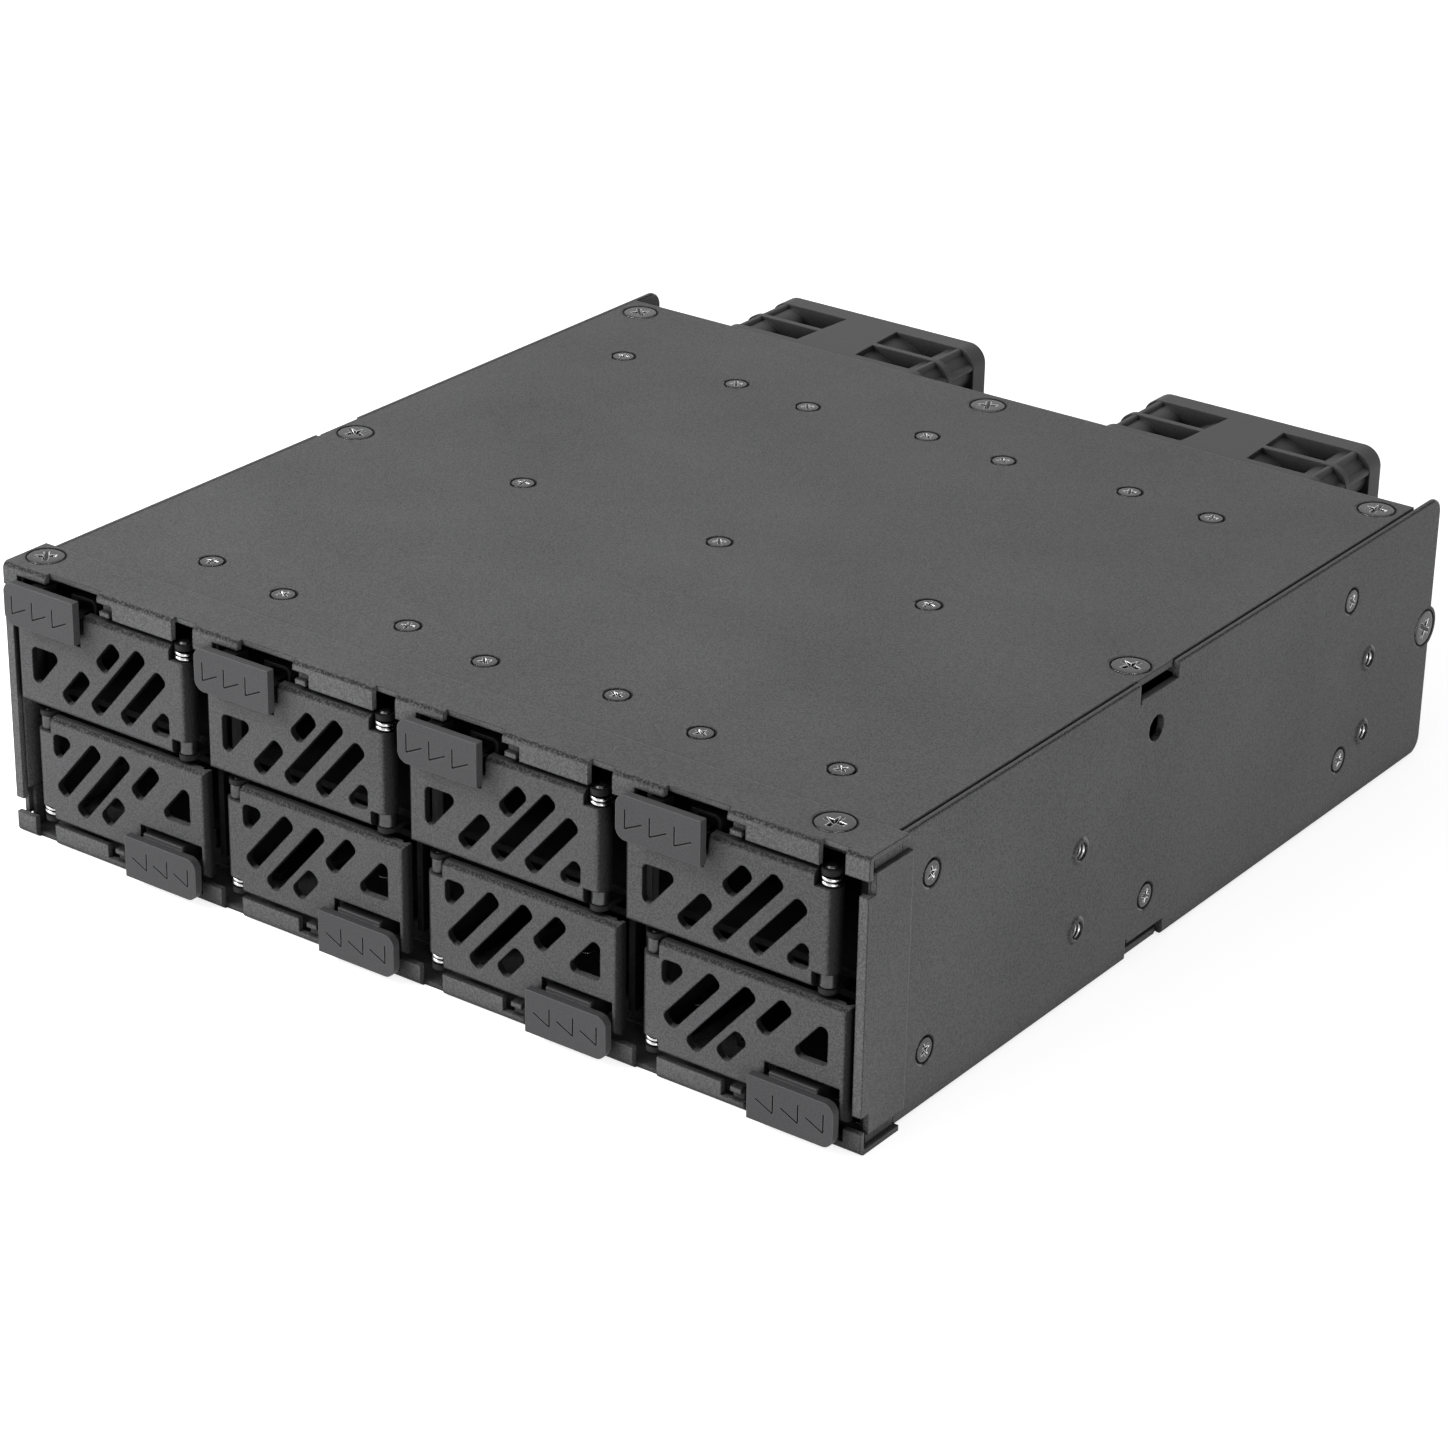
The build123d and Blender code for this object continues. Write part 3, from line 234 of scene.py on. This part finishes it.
def finish_material(name, dark, light, highlight_tint, rough, metal=0.0, grain=0.35, bump=0.25, edge=0.15,
                    gain=3.0, reach=7.0, depth=3.0, specular=0.5, coat=0.0, bend_shade=0.0, shade_from=None,
                    shaded_sides=False):
    """A surface with grain from dark to light, a painted highlight on its edges, painted shade that
    turns its gaps black, and a pebbled bump.

    On coated sheet, painted shade darkens bends and cut edges by the share given, in specks, and
    edges that lean to the rear take the painted highlight.
    Given a depth in mm, a piece gets painted shade, nearly black, from that depth on, where it
    lies behind the front.
    Asked for, painted shade makes a piece nearly black where it faces left or right, toward its
    neighbours.
    """
    rough_spread = 0.06
    pebble_height = 0.05 * MM
    shade_run = 0.6
    made = bpy.data.materials.new(name)
    made.use_nodes = True
    tree = made.node_tree
    shader = tree.nodes["Principled BSDF"]
    shader.inputs["Metallic"].default_value = metal
    shader.inputs["Specular IOR Level"].default_value = specular
    shader.inputs["Coat Weight"].default_value = coat
    pebbles = new_node(tree, "ShaderNodeGroup", node_tree=pebble_grain)
    pebbles.inputs["Size"].default_value = grain
    gap_shade = new_node(tree, "ShaderNodeGroup", node_tree=crevice_shade)
    gap_shade.inputs["Reach"].default_value = reach
    gap_shade.inputs["Depth"].default_value = depth
    edges = new_node(tree, "ShaderNodeGroup", node_tree=sheet_bend if bend_shade else rounded_edge)
    edges.inputs["Radius"].default_value = edge
    lit_share = gap_shade.outputs["Open"]
    if bend_shade:
        edge_highlight = edges.outputs["Highlight"]
        # Painted shade in specks on bends and cut edges.
        kept = maths(tree, "MULTIPLY_ADD", edges.outputs["BendShade"], -bend_shade, 1.0)
        lit_share = maths(tree, "MULTIPLY", kept, lit_share)
    else:
        edges.inputs["Gain"].default_value = gain
        edge_highlight = edges.outputs["Edge"]
    # Painted shade on faces that look left or right, toward the neighbouring parts.
    if shaded_sides:
        side_shade = ranged(tree, edges.outputs["Sideways"], 0.3, 0.72, 1.0, 0.06)
        lit_share = maths(tree, "MULTIPLY", side_shade, lit_share)
    # Painted shade, nearly black, on what lies behind the front.
    if shade_from is not None:
        place = tree.nodes.new("ShaderNodeTexCoord")
        parts = tree.nodes.new("ShaderNodeSeparateXYZ")
        tree.links.new(place.outputs["Object"], parts.inputs[0])
        near = ranged(tree, parts.outputs[1], shade_from * MM, (shade_from + shade_run) * MM, 1.0, 0.12,
                      smooth=False)
        lit_share = maths(tree, "MULTIPLY", near, lit_share)
    body = mixed(tree, pebbles.outputs["Tint"], dark, light)
    # Painted highlight: edges are lightened toward the highlight tint.
    highlighted = mixed(tree, edge_highlight, body, highlight_tint)
    # Painted shade: the colour goes to black where the lit share falls, in gaps, on bends, on side faces and
    # behind the front.
    tree.links.new(mixed(tree, lit_share, (0, 0, 0), highlighted), shader.inputs["Base Color"])
    level = ranged(tree, pebbles.outputs["Tint"], 0.0, 1.0, rough - rough_spread, rough + rough_spread,
                   smooth=False)
    tree.links.new(level, shader.inputs["Roughness"])
    relief = new_node(tree, "ShaderNodeBump", Strength=bump, Distance=pebble_height)
    tree.links.new(pebbles.outputs["Height"], relief.inputs["Height"])
    tree.links.new(edges.outputs["Normal"], relief.inputs["Normal"])
    tree.links.new(relief.outputs[0], shader.inputs["Normal"])
    return made


# Coated sheet with a painted highlight on edges that lean to the rear, and painted shade on its other bends
# and edges and in gaps.
powder_coat = finish_material("powder_coat", (0.036, 0.036, 0.0365), (0.142, 0.142, 0.1455),
                              (0.36, 0.36, 0.365), 0.62, grain=0.27, bump=0.8, edge=0.35, specular=0.2,
                              bend_shade=0.95)
# A darker copy of the sheet coat: painted shade on the door fronts, and painted shade on the faces toward
# the neighbouring doors.
shaded_door_coat = finish_material("shaded_door_coat", (0.026, 0.026, 0.0265), (0.108, 0.108, 0.111),
                            (0.3, 0.3, 0.305), 0.62, grain=0.27, bump=0.8, edge=0.35, specular=0.2,
                            bend_shade=0.95, shaded_sides=True)
# Near black coat on the carriers: painted shade for the dark inside of the bays.
shaded_inner_coat = finish_material("shaded_inner_coat", (0.008, 0.008, 0.0085), (0.016, 0.016, 0.0165),
                             (0.06, 0.06, 0.06), 0.6, grain=0.4, bump=0.6, edge=0.3, specular=0.15,
                             bend_shade=0.8)
# Zinc made near black: painted shade inside the cage, where the dividers, shelf and guides sit.
shaded_inner_zinc = finish_material("shaded_zinc", (0.02, 0.02, 0.0205), (0.04, 0.04, 0.041), (0.12, 0.12, 0.12),
                             0.5, metal=0.6, grain=1.2, bump=0.1, reach=9.0, depth=4.0)
# Painted shade, nearly black, on the tab where it lies behind the front lip.
tab_plastic = finish_material("tab_plastic", (0.034, 0.034, 0.0355), (0.065, 0.065, 0.0675),
                              (0.15, 0.15, 0.155), 0.5, grain=0.25, bump=0.2, edge=0.2, specular=0.2,
                              reach=4.0, shade_from=-4.9)
fan_plastic = finish_material("fan_plastic", (0.05, 0.05, 0.051), (0.066, 0.066, 0.067),
                              (0.12, 0.12, 0.12), 0.5, grain=0.5, bump=0.2, edge=0.25, specular=0.2,
                              reach=9.0, depth=2.6)
socket_plastic = finish_material("socket_plastic", (0.02, 0.02, 0.02), (0.03, 0.03, 0.03),
                                 (0.07, 0.07, 0.07), 0.4, grain=0.5, bump=0.1)
port_shell = finish_material("port_shell", (0.5, 0.5, 0.5), (0.62, 0.62, 0.61), (0.8, 0.8, 0.8), 0.3,
                             metal=1.0, grain=0.8, bump=0.08)
solder_mask = finish_material("solder_mask", (0.012, 0.016, 0.014), (0.022, 0.028, 0.025),
                              (0.09, 0.08, 0.05), 0.35, grain=2.0, bump=0.05, coat=0.3)
pin_steel = finish_material("pin_steel", (0.05, 0.05, 0.051), (0.085, 0.085, 0.086), (0.3, 0.3, 0.3),
                            0.34, metal=0.9, grain=0.6, bump=0.08, reach=3.0)
thread_steel = finish_material("thread_steel", (0.3, 0.3, 0.3), (0.42, 0.42, 0.42), (0.6, 0.6, 0.6), 0.3,
                               metal=1.0, grain=0.6, bump=0.08, reach=2.0)
spring_wire = finish_material("spring_wire", (0.45, 0.45, 0.45), (0.6, 0.6, 0.6), (0.8, 0.8, 0.8), 0.2,
                              metal=1.0, grain=0.4, bump=0.05, edge=0.05, reach=1.2, depth=1.2)
# Bright edge tint and high gain: a painted highlight on the rims and cross recesses of the screw heads.
black_nickel = finish_material("black_nickel", (0.05, 0.05, 0.052), (0.09, 0.09, 0.092),
                               (0.95, 0.95, 0.95), 0.3, metal=0.85, grain=0.3, bump=0.12, edge=0.16,
                               gain=9.0, reach=0.5, depth=1.2)
# Near black: painted shadow in the countersinks round the screw heads.
sink_shadow = finish_material("sink_shadow", (0.002, 0.002, 0.002), (0.004, 0.004, 0.004), (0.01, 0.01, 0.01),
                            0.8, bump=0.05, specular=0.05, reach=0.5)

finishes = {
    "front_frame": powder_coat, "top_cover": powder_coat, "bottom_plate": powder_coat,
    "left_side_panel": powder_coat, "right_side_panel": powder_coat, "rear_panel": powder_coat,
    "column_dividers": shaded_inner_zinc, "mid_shelf": shaded_inner_zinc, "carrier_guides": shaded_inner_zinc,
    "backplane_board": solder_mask, "drive_sockets": socket_plastic, "data_ports": port_shell,
    "power_ports": socket_plastic, "fan_frame_left": fan_plastic, "fan_frame_right": fan_plastic,
    "fan_rotor_left": fan_plastic, "fan_rotor_right": fan_plastic, "small_screws": black_nickel,
    "large_screws": black_nickel, "fan_screws": black_nickel,
}
bay_finishes = {
    "carrier": shaded_inner_coat, "door": shaded_door_coat, "hinge_pin": pin_steel, "hinge_spring": spring_wire,
    "release_tab": tab_plastic,
}
for number in range(1, 9):
    for kind, finish in bay_finishes.items():
        finishes[f"{kind}_{number}"] = finish
for name, finish in finishes.items():
    nodes[name].data.materials.clear()
    nodes[name].data.materials.append(finish)


# Surfaces

def surface_mesh(name, points, faces, finish, smooth_angle=35):
    """A mesh object from an array of points and an array of quads, smooth up to an angle."""
    mesh = bpy.data.meshes.new(name)
    mesh.from_pydata(points.tolist(), [], faces.tolist())
    mesh.validate()
    mesh.materials.append(finish)
    made = bpy.data.objects.new(name, mesh)
    bpy.context.scene.collection.objects.link(made)
    mesh.shade_smooth()
    mesh.set_sharp_from_angle(angle=math.radians(smooth_angle))
    return made


def grid_faces(rings, around):
    """Quads between neighbouring rings of a closed round grid."""
    ring, step = np.meshgrid(np.arange(rings - 1), np.arange(around), indexing="ij")
    following = (step + 1) % around
    quads = np.stack([ring * around + step, ring * around + following,
                      (ring + 1) * around + following, (ring + 1) * around + step], axis=-1)
    return quads.reshape(-1, 4)


def ring_points(reach, angle, height):
    """Points at a distance from Z, an angle round it and a height, each spread to the others' size."""
    reach, angle, height = np.broadcast_arrays(reach, angle, height)
    return np.stack([reach * np.cos(angle), reach * np.sin(angle), height], axis=-1).reshape(-1, 3)


def full_circle(around):
    """Even angles round one turn."""
    return np.arange(around) / around * 2 * math.pi


def screw_profile(radius, shank, length):
    """Rings of a flat-head screw, as distance from the axis and height below the seat."""
    head_rings = np.array([0.0, 0.12, 0.22, 0.32, 0.42, 0.52, 0.6, 0.64, 0.8, 0.9, 0.96, 1.0])
    rim_drop = np.array([0, 0, 0, 0, 0, 0, 0, 0, 0, 0.015, 0.06, 0.16]) * MM
    head_height = 0.7 * MM
    tip_height = 0.1 * MM
    tip_share = 0.6
    reach = np.concatenate([head_rings * radius, [shank, shank, tip_share * shank, 0.0]])
    tip = -length - tip_height
    height = np.concatenate([-rim_drop, [-head_height, -length, tip, tip]])
    return reach, height


def screw_shape(radius, shank, length):
    """Points and quads of one screw standing on Z, its seat at Z = 0.

    Ring points run round the axis. Across each of the four arms of the cross they stay
    within the arm's half width divided by the ring's radius, so that the arm's walls are
    steep, and its floor falls in a straight line from the arm's end to the middle.
    """
    reach, height = screw_profile(radius, shank, length)
    half_arm = 0.13 * radius
    arm_end = 0.6 * radius
    floor = 0.42 * radius
    limit = math.radians(42)
    widest = math.radians(44.5)
    floor_share = 0.9
    wall_share = 1.12
    merged_share = 1.5
    shank_rings = 4
    safe = np.maximum(reach, 1e-9)
    spread = np.minimum(np.arcsin(np.minimum(1.0, half_arm / safe)), limit)
    spread = np.where(reach > arm_end, limit * 0.5, spread)
    inner = spread * floor_share
    outer = np.minimum(spread * wall_share, widest)
    quarter = np.stack([-inner, inner * 0, inner, outer, outer * 0 + math.pi / 4, math.pi / 2 - outer],
                       axis=1)
    inside = np.array([1, 1, 1, 0, 0, 0])
    angles = np.concatenate([quarter + turn * math.pi / 2 for turn in range(4)], axis=1)
    in_arm = np.tile(inside, 4)[None, :] * np.ones((len(reach), 1))
    merged = (reach <= half_arm * merged_share)[:, None]
    in_arm = np.where(merged, 1.0, in_arm)
    slope = np.clip(1 - reach / arm_end, 0, 1)
    slope[len(reach) - shank_rings:] = 0
    depth = in_arm * slope[:, None] * floor
    points = ring_points(reach[:, None], angles, height[:, None] - depth)
    return points, grid_faces(len(reach), angles.shape[1])


def seat_frames(places, normals, turns):
    """Square frames with Z along each normal, each turned about it by its own angle."""
    normals = np.asarray(normals, float)
    helper = np.where(np.abs(normals[:, 2:3]) > 0.9, [[1.0, 0, 0]], [[0, 0, 1.0]])
    across = np.cross(helper, normals)
    across /= np.linalg.norm(across, axis=1, keepdims=True)
    along = np.cross(normals, across)
    cos, sin = np.cos(turns)[:, None], np.sin(turns)[:, None]
    return np.stack([across * cos + along * sin, along * cos - across * sin, normals], axis=1)


def copies(points, faces, places, normals, turns):
    """One shape set at many seats, as one array of points and one of quads."""
    frames = seat_frames(places, normals, turns)
    placed = np.einsum("pk,nkj->npj", points, frames) + np.asarray(places, float)[:, None, :]
    offsets = (np.arange(len(places)) * len(points))[:, None, None]
    return placed.reshape(-1, 3), (faces[None] + offsets).reshape(-1, 4)


def sink_shadow_shape(radius, around=48):
    """Painted shadow in the countersink round a flat head: rings that fall from the sheet's face to under
    the rim.

    The height is the square of the share of the way in, so the outer ring runs out into the sheet.
    """
    width_outside = 0.12 * MM
    width = 0.18 * MM
    lift = 0.02 * MM
    fall = 0.03 * MM
    share = np.linspace(0, 1, 5)[:, None]
    reach = radius + width_outside - width * share
    points = ring_points(reach, full_circle(around), lift - fall * share ** 2)
    return points, grid_faces(len(share), around)


def sink_shadow_group(name, radius, places, normals):
    """Rings of painted shadow, near black, in the countersinks round all the screws of one kind."""
    points, faces = sink_shadow_shape(radius * MM)
    points, faces = copies(points, faces, np.asarray(places) * MM, normals, np.zeros(len(places)))
    made = surface_mesh(name, points, faces, sink_shadow, 60)
    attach(made, "chassis")
    return made


def screw_group(name, body, radius, shank, length, places, normals, seed):
    """All screws of one kind in one piece, their crosses turned at random."""
    points, faces = screw_shape(radius * MM, shank * MM, length * MM)
    turns = np.random.default_rng(seed).uniform(0, math.pi / 2, len(places))
    points, faces = copies(points, faces, np.asarray(places) * MM, normals, turns)
    made = surface_mesh(name, points, faces, black_nickel)
    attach(made, body)
    return made


# Screw places, in mm: (x, y) on the covers and (y, height) on the sides
columns = (-54, -18, 18, 54)
dividers = (-36, 0, 36)
half_width = side_high.x / MM
mid = middle_height / MM
cover_top = cover_high.z / MM - mid
flange_top = flange_high.z / MM - mid
small_on_cover = [(x + 2.4, 15.15) for x in columns] + [(x - 3.4, 117.4) for x in columns]
small_on_cover += [(x, y) for x in dividers for y in (12.7, 65.4, 118.6)]
small_on_side = [(11.6, 12.7), (120.2, 12.7), (11.6, -12.7), (65.7, -12.7), (120.2, -12.7)]
large_on_cover = [(side * 68.6, 65.4) for side in (-1, 1)] + [(x, 135.5) for x in (-67.9, 0, 67.9)]
large_on_flange = [(-70.5, 1.5), (64.7, 1.9)]


def cover_seats(places, top):
    """Seats on the upper cover and, turned half a turn, on the lower one."""
    seats = [(row * x, y, mid + row * top) for row in (1, -1) for x, y in places]
    normals = [(0, 0, row) for row in (1, -1) for _ in places]
    return seats, normals


def side_seats(places):
    """Seats on the right and the left side panel."""
    seats = [(side * half_width, y, mid + w) for side in (1, -1) for y, w in places]
    normals = [(side, 0, 0) for side in (1, -1) for _ in places]
    return seats, normals


small_head = 1.74
seats, normals = cover_seats(small_on_cover, cover_top)
more_seats, more_normals = side_seats(small_on_side)
seats += more_seats
normals += more_normals
small = screw_group("small_screw_heads", "chassis", small_head, 1.1, 2.1, seats, normals, 3)
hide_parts("small_screws")
sink_shadow_group("small_screw_sink_shadows", small_head, seats, normals)

large_head = 2.72
seats, normals = cover_seats(large_on_cover, cover_top)
more_seats, more_normals = side_seats([(144.7, 0)])
flange_seats, flange_normals = cover_seats(large_on_flange, flange_top)
seats += more_seats + flange_seats
normals += more_normals + flange_normals
large = screw_group("large_screw_heads", "chassis", large_head, 1.4, 2.2, seats, normals, 5)
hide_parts("large_screws")
sink_shadow_group("large_screw_sink_shadows", large_head, seats, normals)

fan_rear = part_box("fan_frame_left")[1].y / MM
fan_across = 36
fan_hole = 16
fan_seats = [(side * fan_across + x * fan_hole, fan_rear, mid + z * fan_hole)
             for side in (1, -1) for x in (1, -1) for z in (1, -1)]
fans = screw_group("fan_screw_heads", "chassis", 3.1, 1.85, 21.8,
                   fan_seats, [(0, 1, 0)] * len(fan_seats), 7)
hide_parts("fan_screws")


def ridge_shape(half_wide, half_high, length, around=24):
    """Closed moulded ridge along Y: rings of a rounded oblong, drawn to a point at both ends.

    The oblong is the curve where (a / half width) to the fourth plus (b / half height) to the
    fourth is 1.
    """
    angle = -full_circle(around)
    cos, sin = np.cos(angle), np.sin(angle)
    swell = (cos ** 4 + sin ** 4) ** -0.25
    scale = np.array([0.0, 1.0, 1.0, 0.0])
    along = np.array([0.0, 0.0, 1.0, 1.0]) * length
    points = np.stack([scale[:, None] * half_wide * swell * cos, along[:, None] + 0 * cos,
                       scale[:, None] * half_high * swell * sin], axis=-1)
    return points.reshape(-1, 3), grid_faces(len(scale), around)


def fan_ridges(name, node):
    """Eight ridges of one fan frame, two on each side, beside the hollow corners."""
    half_wide = 0.6 * MM
    half_high = 1.9 * MM
    inset = MM
    off_middle = 17.1 * MM
    out_from_axis = 18.0 * MM
    low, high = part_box(node)
    middle = (low + high) / 2
    ridge, faces = ridge_shape(half_wide, half_high, (high.y - low.y) - 2 * inset)
    pieces = []
    for quarter in range(4):
        cos, sin = round(math.cos(quarter * math.pi / 2)), round(math.sin(quarter * math.pi / 2))
        for across in (-off_middle, off_middle):
            x = ridge[:, 0] + across
            z = ridge[:, 2] + out_from_axis
            pieces.append(np.stack([middle.x + cos * x - sin * z, low.y + inset + ridge[:, 1],
                                    middle.z + sin * x + cos * z], axis=-1))
    offsets = (np.arange(len(pieces)) * len(ridge))[:, None, None]
    made = surface_mesh(name, np.concatenate(pieces), (faces[None] + offsets).reshape(-1, 4), fan_plastic)
    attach(made, "chassis")
    return made


fan_ridges("left_fan_ridges", "fan_frame_left")
fan_ridges("right_fan_ridges", "fan_frame_right")


def thread_shape(radius, depth, rise, turns):
    """Open thread wall: a round grid whose radius steps in and out once per turn of its angle.

    A point at angle a and height h stands at the radius less the depth times a triangle
    wave of (h / rise + a / full turn).
    """
    around, rings = 36, int(turns * 8) + 1
    angle = full_circle(around)[None, :]
    height = np.linspace(0, -turns * rise, rings)[:, None]
    phase = (height / rise + angle / (2 * math.pi)) % 1
    inward = depth * (1 - np.abs(2 * phase - 1))
    return ring_points(radius - inward, angle, height), grid_faces(rings, around)[:, ::-1]


hole_columns = (47.5, 126.75)
hole_rows = (10.65, 22.49)
hole_radius = 1.25
thread_gap = 0.01
thread_sunk = 0.05
points, faces = thread_shape((hole_radius - thread_gap) * MM, 0.17 * MM, 0.5 * MM, 3.4)
seats = [(side * (half_width - thread_sunk), y, z)
         for side in (1, -1) for y in hole_columns for z in hole_rows]
normals = [(side, 0, 0) for side in (1, -1) for _ in range(4)]
points, faces = copies(points, faces, np.asarray(seats) * MM, normals, np.zeros(len(seats)))
threads = surface_mesh("side_hole_threads", points, faces, thread_steel, 60)
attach(threads, "chassis")


def lip_shape(inner, outer, rise, around=48):
    """Raised lip of a drawn hole: rings from the foot over the crest and down the bore.

    Between the foot and the crest the height follows half a cosine wave, so the lip runs out
    into the sheet. The last rings go down the bore to below the sheet's face.
    """
    bore_edge = inner + 0.03 * MM
    crest = inner + 0.12 * MM
    sunk = 0.02 * MM
    bore_drops = np.array([0.06, 0.16]) * MM
    bore_end = -0.5 * MM
    share = np.linspace(0, 1, 9)
    reach = np.concatenate([outer + (crest - outer) * share, [bore_edge, inner, inner]])
    height = np.concatenate([rise * (1 - np.cos(math.pi * share)) / 2 - sunk, rise - bore_drops, [bore_end]])
    points = ring_points(reach[:, None], full_circle(around), height[:, None])
    return points, grid_faces(len(reach), around)


points, faces = lip_shape(hole_radius * MM, 2.3 * MM, 0.36 * MM)
seats = [(side * half_width, y, z) for side in (1, -1) for y in hole_columns for z in hole_rows]
points, faces = copies(points, faces, np.asarray(seats) * MM, normals, np.zeros(len(seats)))
lips = surface_mesh("side_hole_lips", points, faces, powder_coat, 60)
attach(lips, "chassis")


# Floor, light and camera

def seen_ray(tree):
    """1 for rays that the camera sees directly, in a gloss or through something clear, else 0."""
    path = tree.nodes.new("ShaderNodeLightPath")
    plain = maths(tree, "MAXIMUM", path.outputs["Is Camera Ray"], path.outputs["Is Glossy Ray"])
    return maths(tree, "MAXIMUM", plain, path.outputs["Is Transmission Ray"])


def floor_material():
    """White floor that fades to pure white for the camera and keeps a soft shadow."""
    made = bpy.data.materials.new("white_floor")
    made.use_nodes = True
    tree = made.node_tree
    tree.nodes.clear()
    out = tree.nodes.new("ShaderNodeOutputMaterial")
    paint = new_node(tree, "ShaderNodeBsdfDiffuse", Color=(0.85, 0.85, 0.85, 1))
    glow = new_node(tree, "ShaderNodeEmission", Color=(1, 1, 1, 1))
    glow.inputs["Strength"].default_value = 0.72
    both = tree.nodes.new("ShaderNodeAddShader")
    pick = tree.nodes.new("ShaderNodeMixShader")
    tree.links.new(paint.outputs[0], both.inputs[0])
    tree.links.new(glow.outputs[0], both.inputs[1])
    tree.links.new(seen_ray(tree), pick.inputs["Fac"])
    tree.links.new(paint.outputs[0], pick.inputs[1])
    tree.links.new(both.outputs[0], pick.inputs[2])
    tree.links.new(pick.outputs[0], out.inputs["Surface"])
    return made


floor_reach = 4.0
floor_gap = 0.02 * MM
floor_points = np.array([[-1, -1, 0], [1, -1, 0], [1, 1, 0], [-1, 1, 0]]) * floor_reach
floor_points[:, 2] = solid_box[0][2] - floor_gap
floor = surface_mesh("floor", floor_points, np.array([[0, 1, 2, 3]]), floor_material())

world = bpy.context.scene.world or bpy.data.worlds.new("studio")
bpy.context.scene.world = world
world.use_nodes = True
sky = world.node_tree
sky.nodes.clear()
sky_out = sky.nodes.new("ShaderNodeOutputWorld")
sky_plain = new_node(sky, "ShaderNodeBackground", Color=(1, 1, 1, 1), Strength=0.3)
sky_seen = new_node(sky, "ShaderNodeBackground", Color=(1, 1, 1, 1), Strength=1.0)
sky_mix = sky.nodes.new("ShaderNodeMixShader")
sky.links.new(seen_ray(sky), sky_mix.inputs["Fac"])
sky.links.new(sky_plain.outputs[0], sky_mix.inputs[1])
sky.links.new(sky_seen.outputs[0], sky_mix.inputs[2])
sky.links.new(sky_mix.outputs[0], sky_out.inputs["Surface"])

centre = Vector((0, 0.07, 0.02))


def area_light(name, place, width, height, watts):
    """Soft rectangular lamp at a place in metres, facing the object's middle."""
    lamp = bpy.data.lights.new(name, "AREA")
    lamp.shape = "RECTANGLE"
    lamp.size = width
    lamp.size_y = height
    lamp.energy = watts
    made = bpy.data.objects.new(name, lamp)
    made.location = place
    made.rotation_euler = (centre - Vector(place)).to_track_quat("-Z", "Y").to_euler()
    bpy.context.scene.collection.objects.link(made)
    return made


area_light("top_softbox", (-0.34, -0.28, 0.4), 0.35, 0.35, 3.3)
area_light("front_softbox", (-0.35, -0.95, 0.3), 0.7, 0.5, 2.2)
area_light("right_softbox", (0.75, -0.5, 0.16), 0.4, 0.4, 4.1)

camera_data = bpy.data.cameras.new("camera")
camera_data.sensor_width = 36.0
camera_data.lens = 103.74
camera_data.clip_start = 0.01
camera = bpy.data.objects.new("camera", camera_data)
right = Vector((0.80482906, 0.59327806, 0.01647195))
down = Vector((0.26478119, -0.33408156, -0.90458854))
ahead = Vector((-0.53116956, 0.73240061, -0.42596742))
turned = Matrix((right, -down, -ahead)).transposed().to_4x4()
camera.matrix_world = Matrix.Translation((0.324007, -0.379402, 0.272264)) @ turned
bpy.context.scene.collection.objects.link(camera)
bpy.context.scene.camera = camera
bpy.context.scene.view_settings.view_transform = "Standard"
